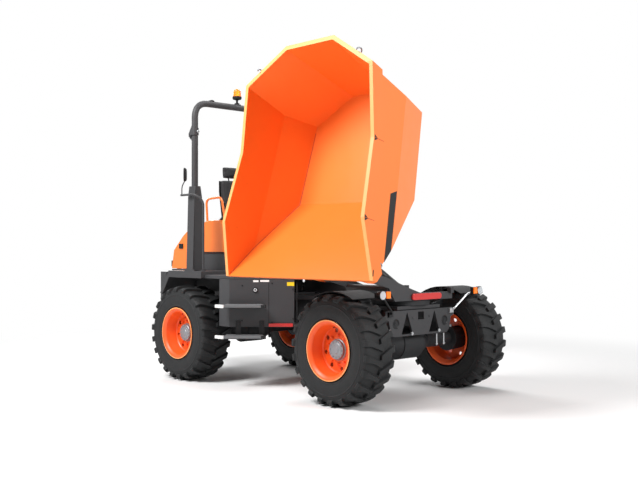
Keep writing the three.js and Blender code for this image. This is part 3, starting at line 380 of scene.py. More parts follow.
class Shape:
    """Closed solids gathered into one mesh."""

    def __init__(self):
        self.mesh = bmesh.new()

    def loft(self, rings, closed=False):
        """Skins rings of points; the ends are capped unless the loft closes on itself."""
        rows = [[self.mesh.verts.new(point) for point in ring] for ring in rings]
        pairs = list(zip(rows, rows[1:]))
        if closed:
            pairs.append((rows[-1], rows[0]))
        count = len(rows[0])
        for low, high in pairs:
            for i in range(count):
                j = (i + 1) % count
                self.mesh.faces.new((low[i], low[j], high[j], high[i]))
        if not closed:
            self.mesh.faces.new(rows[0][::-1])
            self.mesh.faces.new(rows[-1])
        return self

    def box(self, corner, opposite):
        (x0, x1), (y0, y1), (z0, z1) = [sorted(pair) for pair in zip(corner, opposite)]
        ring = [(x0, y0), (x1, y0), (x1, y1), (x0, y1)]
        return self.loft([[(x, y, z) for x, y in ring] for z in (z0, z1)])

    def prism(self, outline, axis, start, end):
        """Sweeps an outline of (y, z) along x, of (x, z) along y, or of (x, y) along z."""
        place = {
            "x": lambda a, b, d: (d, a, b),
            "y": lambda a, b, d: (a, d, b),
            "z": lambda a, b, d: (a, b, d),
        }[axis]
        return self.loft([[place(a, b, d) for a, b in outline] for d in (start, end)])

    def bar(self, start, end, radius, sides=24):
        start, end = Vector(start), Vector(end)
        across = (end - start).to_track_quat("Z", "Y")
        ring = [across @ Vector((radius * math.cos(a), radius * math.sin(a), 0))
                for a in turns(sides)]
        return self.loft([[centre + point for point in ring] for centre in (start, end)])

    def bolt(self, place, axis, size, head=None):
        """A hexagon head of that width across its corners on a washer."""
        place, axis = Vector(place), Vector(axis).normalized()
        height = size * 0.32 if head is None else head
        self.bar(place, place + axis * height * 0.25, size * 0.62, sides=16)
        return self.bar(place, place + axis * height * 1.2, size / 2, sides=6)

    def lathe(self, profile, centre, axis, sides=48):
        """A closed profile of (radius, distance along the axis), turned round the axis."""
        centre, axis = Vector(centre), Vector(axis).normalized()
        across = axis.to_track_quat("Z", "Y")
        rings = []
        for a in turns(sides):
            way = across @ Vector((math.cos(a), math.sin(a), 0))
            rings.append([centre + way * r + axis * d for r, d in profile])
        return self.loft(rings, closed=True)

    def tube(self, points, radius, sides=12, closed=False):
        """A round tube along points, already smooth."""
        points = [Vector(p) for p in points]
        count = len(points)
        rings = []
        side = None
        for i, point in enumerate(points):
            ahead = points[(i + 1) % count] if closed or i + 1 < count else point
            behind = points[i - 1] if closed or i > 0 else point
            along = (ahead - behind).normalized()
            if side is None:
                side = along.orthogonal().normalized()
            side = (side - along * side.dot(along)).normalized()
            other = along.cross(side)
            rings.append([point + (side * math.cos(a) + other * math.sin(a)) * radius
                          for a in turns(sides)])
        return self.loft(rings, closed=closed)

    def make(self, name, place=MACHINE):
        """The gathered solids as a new object."""
        bmesh.ops.recalc_face_normals(self.mesh, faces=self.mesh.faces)
        self.mesh.transform(place)
        mesh = bpy.data.meshes.new(name)
        self.mesh.to_mesh(mesh)
        self.mesh.free()
        return add_object(name, mesh)

    def piece(self, name, finish, body="chassis_rear", place=MACHINE, bevel=0.0, segments=2,
              smooth=38, replaces=()):
        """The gathered solids as one finished piece that rides on a body."""
        made = self.make(name, place)
        made.data.materials.append(FINISH[finish])
        made.data.shade_smooth()
        made.data.set_sharp_from_angle(angle=math.radians(smooth))
        if bevel:
            soften_edges(made, bevel, segments)
        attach(made, body)
        if replaces:
            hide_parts(*replaces)
        return made


def soften_edges(piece, width, segments=2):
    bevel = piece.modifiers.new("soft_edges", "BEVEL")
    bevel.width = width
    bevel.segments = segments
    bevel.limit_method = "ANGLE"
    bevel.angle_limit = math.radians(33)
    bevel.harden_normals = True


def rounded(corners, bend, steps=6):
    """A path through corners with each inner corner rounded over the bend length."""
    corners = [Vector(c) for c in corners]
    path = [corners[0]]
    for before, corner, after in zip(corners, corners[1:], corners[2:]):
        reach = min(bend, (before - corner).length * 0.48, (after - corner).length * 0.48)
        entry = corner + (before - corner).normalized() * reach
        leave = corner + (after - corner).normalized() * reach
        for i in range(steps + 1):
            t = i / steps
            path.append(entry * (1 - t) ** 2 + corner * 2 * t * (1 - t) + leave * t**2)
    path.append(corners[-1])
    return path


def circle(centre, radius, count, start=0.0):
    return [(centre[0] + radius * math.cos(a), centre[1] + radius * math.sin(a))
            for a in turns(count, start)]


def squarish(width, height, bend, count):
    """Points (across, up) of an oblong with round corners; bend is a pair of powers."""
    points = []
    for a in turns(count):
        c, s = math.cos(a), math.sin(a)
        points.append((abs(c) ** bend[0] * math.copysign(width, c),
                       abs(s) ** bend[1] * math.copysign(height, s)))
    return points


# ---------- CAD nodes that keep their shape ----------


def dress(node, finish, bevel=0.0, segments=2, flat=True):
    """Gives a CAD node its finish, joins its flat facets and softens its edges."""
    piece = NODES[node]
    mesh = piece.data
    mesh.materials.clear()
    mesh.materials.append(FINISH[finish])
    if "custom_normal" in mesh.attributes:
        mesh.attributes.remove(mesh.attributes["custom_normal"])
    weld = piece.modifiers.new("weld", "WELD")
    weld.merge_threshold = 0.00002
    if flat:
        dissolve = piece.modifiers.new("flat", "DECIMATE")
        dissolve.decimate_type = "DISSOLVE"
        dissolve.angle_limit = math.radians(0.6)
        mesh.shade_smooth()
    else:
        mesh.shade_flat()
    if bevel:
        soften_edges(piece, bevel, segments)


for nodes, finish, bevel in (
    ("rear_frame front_frame front_plate slew_frame rear_bumper", "dark", 0.004),
    ("operator_floor hood_sill seat_base steering_console", "dark", 0.005),
    ("engine_block rear_axle front_axle slew_ring", "casting", 0.006),
    ("side_tank_right rear_fender_right rops_post_right", "dark", 0.004),
    ("side_tank_left rear_fender_left rops_post_left", "dark", 0.004),
    ("front_fender_right front_fender_left", "plastic", 0.003),
    ("lock_bar", "red", 0.003), ("skip_prop", "red", 0.004),
    ("tip_cylinder steer_cylinder", "black", 0.0),
    ("tip_rod", "nitride", 0.0), ("steer_rod", "chrome", 0.0),
):
    for node in nodes.split():
        dress(node, finish, bevel)
dress("engine_hood", "orange", 0.012, 3)
dress("skip", "skip_orange", flat=False)

# ---------- wheels ----------

LUGS = 22
TREAD_FLOOR = TYRE_RADIUS - 0.028  # the radius between the lugs
# Half a tyre's outline as (radius, distance from the middle plane), tread middle to bead.
CARCASS = (
    (TREAD_FLOOR, 0.0), (TREAD_FLOOR - 0.001, 0.08), (TREAD_FLOOR - 0.006, 0.145),
    (TREAD_FLOOR - 0.018, 0.172), (0.468, 0.186), (0.44, 0.1915), (0.436, 0.1955),
    (0.428, 0.1955), (0.424, 0.1925), (0.385, 0.196), (0.345, 0.1945), (0.322, 0.1895),
    (0.318, 0.1925), (0.308, 0.1925), (0.304, 0.1865), (0.296, 0.178), (0.284, 0.168),
    (0.268, 0.16), (0.2525, 0.158),
)
# Along a lug: distance from the middle plane, top and foot radius, turns round the
# tyre and half width, from the middle of the tread to the side wall.
LUG_PATH = (
    (-0.012, 0.5372, 0.500, 0.0, 0.021),
    (0.030, 0.5375, 0.500, -0.034, 0.022),
    (0.075, 0.5362, 0.498, -0.070, 0.023),
    (0.120, 0.5335, 0.496, -0.103, 0.025),
    (0.156, 0.5290, 0.490, -0.124, 0.028),
    (0.183, 0.5190, 0.480, -0.134, 0.030),
    (0.1955, 0.5050, 0.470, -0.137, 0.030),
    (0.2000, 0.4800, 0.455, -0.138, 0.029),
)


def tyre(name, centre, side):
    shape = Shape()
    profile = list(CARCASS) + [(r, -d) for r, d in reversed(CARCASS[1:])]
    shape.lathe(profile, centre, (0, side, 0), 96)

    def at(radius, turn, across):
        spoke = (radius * math.sin(turn), side * across, radius * math.cos(turn))
        return centre + Vector(spoke)

    for half in (-1, 1):
        for k in range(LUGS):
            middle = 2 * math.pi / LUGS * (k + half * 0.25)
            rings = []
            for across, top, foot, turn, wide in LUG_PATH:
                turn += middle
                low, high = wide * 1.16 / foot, wide / top
                y = across * half
                y_foot = y if across < 0.18 else half * 0.176
                rings.append([at(foot, turn - low, y_foot), at(foot, turn + low, y_foot),
                              at(top, turn + high, y), at(top, turn - high, y)])
            shape.loft(rings)
    shape.piece("tyre_tread_" + name, "rubber", "wheel_" + name, bevel=0.0035, smooth=30,
                replaces=["tyre_" + name])


# Closed outline of the rim as (radius, distance outboard of the wheel's middle plane).
RIM_OUTLINE = (
    (0.062, 0.031), (0.124, 0.031), (0.15, 0.023), (0.205, 0.021), (0.224, 0.01),
    (0.236, -0.006), (0.236, -0.15), (0.262, -0.182), (0.287, -0.19), (0.288, -0.1945),
    (0.276, -0.1945), (0.258, -0.178), (0.2505, -0.16), (0.2505, 0.16), (0.258, 0.172),
    (0.276, 0.178), (0.288, 0.1835), (0.2905, 0.19), (0.288, 0.1945), (0.281, 0.1945),
    (0.266, 0.186), (0.2445, 0.17), (0.2405, 0.16), (0.2385, 0.118), (0.233, 0.11),
    (0.2315, 0.078), (0.226, 0.068), (0.224, 0.046), (0.214, 0.035), (0.16, 0.036),
    (0.145, 0.044), (0.062, 0.044),
)


def rim(name, centre, side):
    out = Vector((0, side, 0))
    shape = Shape()
    shape.lathe(RIM_OUTLINE, centre, out, 72)
    made = shape.piece("rim_dish_" + name, "rim_orange", "wheel_" + name,
                       smooth=32, replaces=["rim_" + name])
    holes = Shape()
    for y, z in circle((0, 0), 0.186, 8, 0.2):
        place = centre + Vector((y, 0, z))
        holes.bar(place + out * -0.05, place + out * 0.1, 0.0225, sides=20)
    carve(made, holes)
    # A thin pale ring on each rim's flange: a painted highlight.
    edge = Shape()
    edge.lathe([(0.2795, 0.1925), (0.29, 0.1915), (0.2912, 0.1935), (0.2885, 0.1952),
                (0.2815, 0.1952)], centre, out, 72)
    edge.piece("rim_edge_" + name, "edge", "wheel_" + name)
    valve = Shape()
    stem = centre + Vector((0, 0, 0.226))
    valve.bar(stem + out * 0.05, stem + Vector((0, 0, -0.012)) + out * 0.115, 0.005, sides=12)
    valve.piece("valve_" + name, "black", "wheel_" + name)


HUB_OUTLINE = (
    (AXIS, 0.031), (0.06, 0.031), (0.06, 0.0445), (0.104, 0.0445), (0.104, 0.052),
    (0.096, 0.056), (0.095, 0.076), (0.09, 0.082), (0.07, 0.083), (0.066, 0.086),
    (0.04, 0.087), (0.036, 0.091), (0.012, 0.092), (AXIS, 0.092),
)


def hub(name, centre, side):
    out = Vector((0, side, 0))
    shape = Shape()
    shape.lathe(HUB_OUTLINE, centre, out, 48)
    for x, z in circle((0, 0), 0.079, 12):
        shape.bolt(centre + Vector((x, 0, z)) + out * 0.0815, out, 0.018)
    shape.piece("hub_" + name, "steel", "wheel_" + name, bevel=0.0012)
    nuts = Shape()
    for x, z in circle((0, 0), 0.137, 10, 0.31):
        place = centre + Vector((x, 0, z)) + out * 0.044
        nuts.bolt(place, out, 0.026, head=0.012)
        nuts.bar(place, place + out * 0.024, 0.007, sides=12)
    nuts.piece("wheel_nuts_" + name, "rim_orange", "wheel_" + name, bevel=0.0008)


def carve(piece, holes):
    """Cuts the gathered solids out of a piece."""
    tool = holes.make("holes")
    cutter = piece.modifiers.new("holes", "BOOLEAN")
    cutter.object = tool
    cutter.solver = "EXACT"
    bake(piece)
    bpy.data.objects.remove(tool)
    piece.data.set_sharp_from_angle(angle=math.radians(32))


def bake(piece):
    """Applies a piece's modifiers to its mesh."""
    graph = bpy.context.evaluated_depsgraph_get()
    done = bpy.data.meshes.new_from_object(piece.evaluated_get(graph))
    piece.modifiers.clear()
    piece.data = done


for end, x in ENDS:
    for side, sign in SIDES:
        name = end + "_" + side
        centre = Vector((x, sign * WHEEL_Y, TYRE_RADIUS))
        tyre(name, centre, sign)
        rim(name, centre, sign)
        hub(name, centre, sign)

# ---------- roll-over hoop and beacon ----------

FOLD_X, FOLD_Z = ROPS_X - 0.062, 2.8
ROPS_TOP = 3.18


def rops_hoop():
    corners = [(ROPS_X, -ROPS_Y, FOLD_Z + 0.001), (ROPS_X, -ROPS_Y, ROPS_TOP),
               (ROPS_X, ROPS_Y, ROPS_TOP), (ROPS_X, ROPS_Y, FOLD_Z + 0.001)]
    shape = Shape()
    shape.tube(rounded(corners, 0.27, 14), 0.037, 28)
    shape.prism([(ROPS_X - 0.03, 3.205), (ROPS_X + 0.03, 3.205), (ROPS_X + 0.026, 3.221),
                 (ROPS_X - 0.026, 3.221)], "y", -0.32, -0.24)
    for sign in (-1, 1):
        for near, far in ((0.015, 0.03), (-0.03, -0.015)):
            cheek = [(ROPS_X - 0.012, 2.93), (FOLD_X - 0.022, 2.822), (FOLD_X - 0.017, 2.783),
                     (FOLD_X + 0.012, 2.781), (FOLD_X + 0.02, 2.804), (ROPS_X - 0.012, 2.808)]
            shape.prism(cheek, "y", sign * (ROPS_Y + near), sign * (ROPS_Y + far))
        y = sign * ROPS_Y
        shape.bar((ROPS_X, y, 2.801), (ROPS_X, y, 2.885), 0.0445, sides=28)
    shape.piece("hoop_tube", "dark", "rops_hoop", bevel=0.0015, replaces=["rops_hoop"])
    pins = Shape()
    for sign in (-1, 1):
        y = sign * ROPS_Y
        for start, radius in ((0.041, 0.009), (0.055, 0.016)):
            pins.bar((ROPS_X + start, y, 2.84), (ROPS_X + 0.07, y, 2.84), radius, sides=16)
    pins.piece("hoop_lock_pins", "zinc", "rops_hoop", bevel=0.001)
    clips = Shape()
    for y in (-0.66, 0.66):
        clips.prism([(y - 0.03, 3.21), (y + 0.03, 3.21), (y + 0.03, 3.224), (y, 3.232),
                     (y - 0.03, 3.224)], "x", ROPS_X - 0.02, ROPS_X + 0.02)
    clips.piece("hoop_lamp_brackets", "plastic", "rops_hoop", bevel=0.002)


def beacon():
    foot = (ROPS_X, -0.28, 3.223)
    base = Shape()
    base.lathe([(AXIS, 0), (0.03, 0), (0.03, 0.01), (0.013, 0.016), (0.013, 0.046),
                (0.048, 0.056), (0.054, 0.064), (0.0555, 0.086), (0.051, 0.092),
                (AXIS, 0.092)], foot, (0, 0, 1), 40)
    base.piece("beacon_base", "plastic", "rops_hoop", bevel=0.001, replaces=["beacon"])
    lens = Shape()
    profile = [(AXIS, 0.0925)]
    for i in range(8):
        low, draft = 0.0925 + 0.008 * i, 0.0006 * i
        profile += [(0.0485 - draft, low), (0.0505 - draft, low + 0.004)]
    profile += [(0.043, 0.16), (0.034, 0.173), (0.018, 0.18), (AXIS, 0.182)]
    lens.lathe(profile, foot, (0, 0, 1), 48)
    lens.piece("beacon_lens", "amber", "rops_hoop", smooth=60)


rops_hoop()
beacon()

# ---------- skip details, in the skip's own frame ----------


def wall_half(x, z):
    """Half width of the outer face of the upper side wall."""
    return 0.9399 + 0.078 * x + 0.026 * z


def lower_half(x, z):
    """Half width of the inner face of the lower side wall."""
    return min(0.8256 + 0.078 * x + 0.317 * (z - 0.098), 0.9299 + 0.078 * x + 0.026 * z)


def on_wall(outline, near, far, side):
    """Rings of a thin plate that lies along a side wall."""
    return [[(x, side * (wall_half(x, z) + out), z) for x, z in outline] for out in (near, far)]


def skip_details():
    stripes, marks, seams, eyes, hooks = Shape(), Shape(), Shape(), Shape(), Shape()
    for side in (-1, 1):
        stripe = [(-0.655, 0.552), (-0.7, 0.469), (-0.158, 0.476), (-0.04, 0.553)]
        stripes.loft(on_wall(stripe, 0.0002, 0.0016, side))

        for x, z in ((-0.357, 0.894), (-1.071, 0.869)):
            tab = [(x - 0.028, z - 0.004), (x, z - 0.052), (x + 0.028, z - 0.012)]
            marks.loft(on_wall(tab, 0.0302, 0.0316, side))
        slot = [(0.055, 0.712), (0.062, 0.706), (0.11, 0.706), (0.117, 0.712),
                (0.11, 0.718), (0.062, 0.718)]
        marks.loft(on_wall(slot, 0.0302, 0.0312, side))

        for x, low, high in ((-1.071, 0.738, 0.866), (-0.357, 0.762, 0.89)):
            ends = [(x, side * (wall_half(x, z) + 0.03), z) for z in (low, high)]
            seams.tube(ends, 0.0028, 8)
        fold = [(-1.5, 0.098), (-1.1, 0.098), (-0.726, 0.098), (-0.46, 0.2813),
                (-0.193, 0.4653), (0.12, 0.681)]
        line = [(x, side * (lower_half(x, z) - 0.001), z + 0.001) for x, z in fold]
        seams.tube(line, 0.0045, 8)
        for x in (-0.9, -0.45):
            foot = side * (wall_half(x, 0.735) + 0.001)
            seams.tube([(x - 0.12, foot, 0.735), (x + 0.12, foot, 0.735)], 0.003, 8)

        centre = Vector((-1.845, side * 0.668, 0.986))
        out = Vector((-0.86, side * 0.5, 0)).normalized()
        arc = [centre + Vector((0, 0, 0.034 * math.cos(a))) + out * 0.034 * math.sin(a)
               for a in turns(24)[:13]]
        eyes.tube(arc, 0.007, 12)

        y = side * (wall_half(0, 0.61) + 0.01)
        ring = [(x, y, z) for x, z in circle((0, 0.61), 0.02, 20)]
        hooks.tube(ring, 0.006, 10, closed=True)
    stripes.piece("skip_stripes", "black", "skip", SKIP)
    marks.piece("skip_marks", "black", "skip", SKIP)
    seams.piece("skip_weld_beads", "seam", "skip", SKIP)
    eyes.piece("skip_lifting_eyes", "steel", "skip", SKIP)
    hooks.piece("skip_net_rings", "steel", "skip", SKIP)


skip_details()

# ---------- steps ----------

PANEL = 0.5205  # the slanted side panel lies on x - |y| = PANEL


def steps(side, name):
    """Two treads bolted to the panel: ridged bar, white outer cap and black inner end."""
    bars, caps, ends, bolts = Shape(), Shape(), Shape(), Shape()

    def slab(shape, outline, low, high):
        shape.prism([(x, y * -side) for x, y in outline], "z", low, high)

    for top in (0.9, 0.57):
        outer = [(-0.338, -1.108), (-0.02, -0.79), (-0.046, -0.764), (-0.352, -1.07)]
        slab(bars, outer, top - 0.034, top)
        for k in range(4):
            x0, y0 = -0.372 - 0.026 * k, -1.052 + 0.026 * k
            span = 0.292 - 0.006 * k
            slat = [(x0, y0), (x0 + span, y0 + span), (x0 + span - 0.008, y0 + span + 0.008),
                    (x0 - 0.008, y0 + 0.008)]
            slab(bars, slat, top - 0.026, top)
        for x, y in ((-0.338, -1.06), (-0.226, -0.95), (-0.118, -0.842)):
            arm = [(x, y), (x - 0.13, y + 0.13), (x - 0.142, y + 0.118), (x - 0.012, y - 0.012)]
            slab(bars, arm, top - 0.034, top - 0.022)
        cap = [(-0.468, -1.119), (-0.342, -1.119), (-0.33, -1.107), (-0.352, -1.068),
               (-0.468, -1.092)]
        slab(caps, cap, top - 0.0345, top - 0.001)
        pan = [(-0.469, -1.117), (-0.341, -1.117), (-0.022, -0.799), (-0.15, -0.68),
               (-0.425, -0.955), (-0.469, -0.955)]
        slab(ends, pan, top - 0.0349, top - 0.029)
        end = [(-0.058, -0.826), (-0.021, -0.8), (-0.024, -0.772), (-0.06, -0.768),
               (-0.082, -0.79)]
        slab(ends, end, top - 0.0347, top + 0.0004)
        hanger = [(-0.42, -0.9), (-0.42, -1.06), (-0.4, -1.06), (-0.4, -0.9)]
        slab(ends, hanger, top - 0.028, top - 0.016)
    for x in (-0.38, -0.2):
        y = x - PANEL - 0.0004
        plate = [(x, y), (x + 0.006, y - 0.006), (x + 0.046, y + 0.034), (x + 0.04, y + 0.04)]
        slab(ends, plate, 0.87, 0.896)
        slab(ends, plate, 0.536, 0.72)
        bolts.bolt((x + 0.028, (y + 0.014) * -side, 0.69), (1, side, 0), 0.02)
    bars.piece("step_treads_" + name, "tread", bevel=0.0015, replaces=["steps_" + name])
    caps.piece("step_caps_" + name, "white", bevel=0.003)
    ends.piece("step_brackets_" + name, "black", bevel=0.0015)
    bolts.piece("step_bolts_" + name, "casting", bevel=0.0006)


# ---------- side panel ----------


def side_panel(side, name):
    """Cap, blank labels, screws and seams on the slanted panel."""

    def plate(shape, x0, x1, low, high, thick):
        """A thin plate on the panel, from x0 to x1 and from low to high."""
        near, far = 0.0002 / math.sqrt(2), thick / math.sqrt(2)
        ring = [(x0, near), (x0, far), (x1, far), (x1, near)]
        shape.prism([(x + d, (x - PANEL - d) * -side) for x, d in ring], "z", low, high)

    out = Vector((1, side, 0)).normalized()
    cap = Shape()
    place = Vector((-0.229, 0.7495 * side, 1.052))
    cap.lathe([(AXIS, 0.0004), (0.03, 0.0004), (0.03, 0.006), (0.024, 0.012),
               (AXIS, 0.012)], place, out, 28)
    cap.piece("panel_cap_" + name, "black", bevel=0.001)
    ring = Shape()
    ring.lathe([(0.01, 0.012), (0.019, 0.012), (0.019, 0.015), (0.01, 0.015)], place, out, 24)
    ring.piece("panel_cap_ring_" + name, "zinc", bevel=0.0006)
    label = Shape()
    plate(label, -0.246, -0.205, 1.138, 1.158, 0.0012)
    plate(label, -0.192, -0.123, 1.14, 1.16, 0.0012)
    label.piece("blank_label_white_" + name, "white")
    label = Shape()
    plate(label, 0.014, 0.069, 1.097, 1.137, 0.0012)
    label.piece("blank_label_yellow_" + name, "yellow")
    screws = Shape()
    for along, z in ((-0.33, 1.1), (-0.33, 0.72), (0.06, 0.74), (0.06, 1.06),
                     (-0.1, 1.125), (-0.1, 0.7)):
        screws.bolt((along, (along - PANEL) * -side, z), out, 0.016)
    screws.piece("panel_screws_" + name, "black", bevel=0.0006)
    seam = Shape()
    plate(seam, -0.128, -0.124, 0.69, 1.13, 0.001)
    plate(seam, 0.086, 0.094, 0.69, 1.13, 0.0016)
    seam.piece("panel_seams_" + name, "black")


for name, sign in SIDES:
    steps(sign, name)
    side_panel(sign, name)

# ---------- front plate and chassis nose ----------

NOSE = 1.475  # front face of the plate
PIN_Z = 0.762


def front_details():
    pins, dark, steel = Shape(), Shape(), Shape()
    for side in (-1, 1):
        y = side * 0.376
        pins.bar((NOSE - 0.022, y, PIN_Z), (NOSE - 0.004, y, PIN_Z), 0.037, sides=32)
        pins.bar((NOSE - 0.006, y, PIN_Z), (NOSE, y, PIN_Z), 0.02, sides=20)
        dark.lathe([(0.039, -0.02), (0.05, -0.02), (0.05, -0.001), (0.046, 0.0),
                    (0.039, -0.004)], (NOSE, y, PIN_Z), (1, 0, 0), 32)
        for z in (0.7, 0.862):
            steel.bolt((NOSE, side * 0.47, z), (1, 0, 0), 0.022)
    for y, z in ((-0.132, 0.81), (0.125, 0.816)):
        for turn in (0.785, -0.785):
            a, b = 0.017 * math.cos(turn), 0.017 * math.sin(turn)
            dark.tube([(NOSE + 0.0008, y - a, z - b), (NOSE + 0.0008, y + a, z + b)], 0.0022, 8)
    for y, z in ((-0.148, 0.656), (0.276, 0.665)):
        steel.bar((NOSE - 0.004, y, z), (NOSE + 0.014, y, z), 0.017, sides=20)
        steel.bar((NOSE + 0.012, y, z), (NOSE + 0.02, y, z), 0.01, sides=16)
    pins.piece("nose_pins", "casting", "chassis_front", bevel=0.0015)
    dark.piece("nose_pin_rings", "black", "chassis_front")
    steel.piece("nose_bolts", "zinc", "chassis_front", bevel=0.0008)
    rods = Shape()
    for y in (0.26, 0.374):
        rods.bar((NOSE - 0.012, y, 0.63), (NOSE - 0.012, y, 0.512), 0.008, sides=16)
        rods.bolt((NOSE - 0.012, y, 0.53), (0, 0, -1), 0.028)
    rods.piece("axle_u_bolts", "zinc", "chassis_front", bevel=0.0006)


front_details()


def headlights():
    """Amber and clear lamps on bent stalks at the front corners."""
    for name, side in SIDES:
        stalk, shell, chrome, clear, amber = Shape(), Shape(), Shape(), Shape(), Shape()
        y = side * 0.755
        lamp = (NOSE + 0.162, y, 1.062)
        path = [(NOSE + 0.017, side * 0.47, 0.862), (NOSE + 0.045, side * 0.485, 0.885),
                (NOSE + 0.085, side * 0.66, 1.035), (NOSE + 0.088, side * 0.76, 1.046)]
        stalk.tube(rounded(path, 0.05, 6), 0.0095, 16)
        stalk.prism([(side * 0.441, 0.836), (side * 0.499, 0.836), (side * 0.499, 0.884),
                     (side * 0.441, 0.884)], "x", NOSE + 0.0004, NOSE + 0.022)
        stalk.piece("lamp_stalk_" + name, "zinc" if side > 0 else "black", "chassis_front",
                    bevel=0.001, replaces=["headlight_" + name])
        shell.lathe([(AXIS, -0.06), (0.024, -0.058), (0.04, -0.04), (0.045, -0.004),
                     (0.045, 0.008), (0.041, 0.01), (0.04, 0.002), (AXIS, 0.0)],
                    lamp, (1, 0, 0), 36)
        shell.prism([(y - 0.03, 1.038), (y + 0.105, 1.038), (y + 0.105, 1.088),
                     (y - 0.03, 1.088)], "x", NOSE + 0.09, NOSE + 0.098)
        shell.box((NOSE + 0.126, y + side * -0.11 - 0.001, 1.028),
                  (NOSE + 0.16, y + side * -0.046, 1.1))
        shell.piece("lamp_housing_" + name, "black", "chassis_front", bevel=0.002)
        chrome.lathe([(AXIS, 0.0035), (0.03, 0.0035), (0.039, 0.009), (0.04, 0.009),
                      (0.031, 0.003), (AXIS, 0.003)], lamp, (1, 0, 0), 32)
        chrome.piece("lamp_reflector_" + name, "chrome", "chassis_front")
        clear.lathe([(AXIS, 0.01), (0.04, 0.009), (0.039, 0.012), (0.024, 0.0145),
                     (AXIS, 0.0152)], lamp, (1, 0, 0), 36)
        clear.piece("lamp_glass_" + name, "clear", "chassis_front", smooth=60)
        amber.box((NOSE + 0.161, y - side * 0.108, 1.032),
                  (NOSE + 0.177, y - side * 0.05, 1.097))
        amber.piece("lamp_indicator_" + name, "amber", "chassis_front", bevel=0.006, segments=3)


headlights()

# ---------- handrails, mirrors ----------


def handrail(name, side):
    x, y = ROPS_X + 0.19, side * (ROPS_Y + 0.02)
    far = side * (ROPS_Y + 0.092)
    rail = Shape()
    path = [(x, y, 1.2506), (x, y, 2.04), (x - 0.06, far, 2.115), (x - 0.33, far, 2.115)]
    rail.tube(rounded(path, 0.07, 8), 0.013, 20)
    rail.bar((x, y, 1.2503), (x, y, 1.2563), 0.03, sides=24)
    near = side * (ROPS_Y + 0.0565)
    rail.box((ROPS_X - 0.015, near, 2.106), (ROPS_X + 0.015, far, 2.124))
    mirror_x = ROPS_X - 0.125
    centre = Vector((mirror_x + 0.022, side * (ROPS_Y + 0.062), 2.352))
    stem = [(mirror_x, far, 2.108), (mirror_x, far, 2.215), centre - Vector((0, 0, 0.064))]
    rail.tube(rounded(stem, 0.035, 5), 0.0065, 16)
    rail.piece("handrail_tube_" + name, "dark", bevel=0.0008, replaces=["handrail_" + name])
    # The mirror is folded in line with the machine's corner.
    turn = Matrix.Translation(centre) @ Matrix.Rotation(side * math.radians(136), 4, "Z")
    back, face = Shape(), Shape()
    rows = [[(d, y, z) for y, z in squarish(0.054 * grow, 0.078 * grow, (0.45, 0.45), 32)]
            for d, grow in ((-0.014, 0.72), (-0.01, 0.9), (0.0, 1.0), (0.01, 1.0))]
    back.loft(rows)
    back.piece("mirror_shell_" + name, "plastic", "chassis_rear", MACHINE @ turn, bevel=0.001,
               replaces=["mirror_" + name])
    rows = [[(d, y0 * 0.92, z0 * 0.95) for _, y0, z0 in rows[-1]] for d in (0.0102, 0.0112)]
    face.loft(rows)
    face.piece("mirror_glass_" + name, "glass", "chassis_rear", MACHINE @ turn)


for name, sign in SIDES:
    handrail(name, sign)

# ---------- operator's place ----------


def console(name, side):
    """Side console with its grab rail."""
    inner, outer = sorted((side * 0.35, side * 0.515))
    box = Shape()
    outline = [(-1.515, 1.4455), (-1.095, 1.4455), (-1.08, 1.7), (-1.12, 1.8),
               (-1.2, 1.838), (-1.44, 1.838), (-1.515, 1.8)]
    box.prism(outline, "y", inner, outer)
    box.piece("console_cover_" + name, "orange", bevel=0.018, segments=4,
              replaces=["console_" + name])
    rail = Shape()
    corners = [(-1.47, side * 0.47, 1.83), (-1.48, side * 0.48, 2.095),
               (-1.18, side * 0.48, 2.11), (-1.112, side * 0.47, 1.78)]
    rail.tube(rounded(corners, 0.075, 8), 0.014, 20)
    rail.piece("console_rail_" + name, "orange")
    trim = Shape()
    trim.box((-1.512, side * 0.3495, 1.448), (-1.098, side * 0.5155, 1.462))
    trim.piece("console_trim_" + name, "plastic", bevel=0.002)


def controls():
    lever, boot = Shape(), Shape()
    y = -0.42
    lever.tube(rounded([(-1.22, y, 1.842), (-1.2, y, 1.91), (-1.205, y + 0.01, 1.985)], 0.03),
               0.009, 14)
    lever.lathe([(AXIS, 0.0), (0.015, 0.0), (0.023, 0.022), (0.025, 0.05), (0.019, 0.078),
                 (AXIS, 0.085)], (-1.205, y + 0.01, 1.965), (-0.05, 0.05, 1), 24)
    boot.lathe([(AXIS, 0), (0.052, 0), (0.052, 0.006), (0.04, 0.01), (0.042, 0.018),
                (0.031, 0.022), (0.033, 0.03), (0.022, 0.034), (0.012, 0.05), (AXIS, 0.05)],
               (-1.222, y, 1.8385), (0.1, 0, 1), 28)
    lever.piece("drive_lever", "black", bevel=0.001)
    boot.piece("drive_lever_boot", "plastic")
    dash, keys = Shape(), Shape()
    for k in range(5):
        y = -0.14 + 0.07 * k
        keys.box((-0.655, y - 0.013, 1.716), (-0.62, y + 0.013, 1.738))
    keys.piece("dash_switches", "plastic", bevel=0.003)
    dash.prism([(-0.6, 1.716), (-0.545, 1.702), (-0.548, 1.742), (-0.592, 1.752)],
               "y", -0.09, 0.09)
    dash.piece("dash_display", "black", bevel=0.004)
    pedals = Shape()
    for y in (-0.265, 0.265):
        pedals.prism([(-0.8, 1.225), (-0.7, 1.3), (-0.694, 1.292), (-0.794, 1.217)],
                     "y", y - 0.045, y + 0.045)
        pedals.bar((-0.725, y, 1.205), (-0.725, y, 1.275), 0.01, sides=14)
    pedals.piece("pedals", "plastic", bevel=0.0015)
    belt = Shape()
    for side in (-1, 1):
        belt.box((-1.435, side * 0.262 - 0.014, 1.6), (-1.395, side * 0.262 + 0.014, 1.688))
    belt.piece("seat_belt_buckles", "red", bevel=0.004)


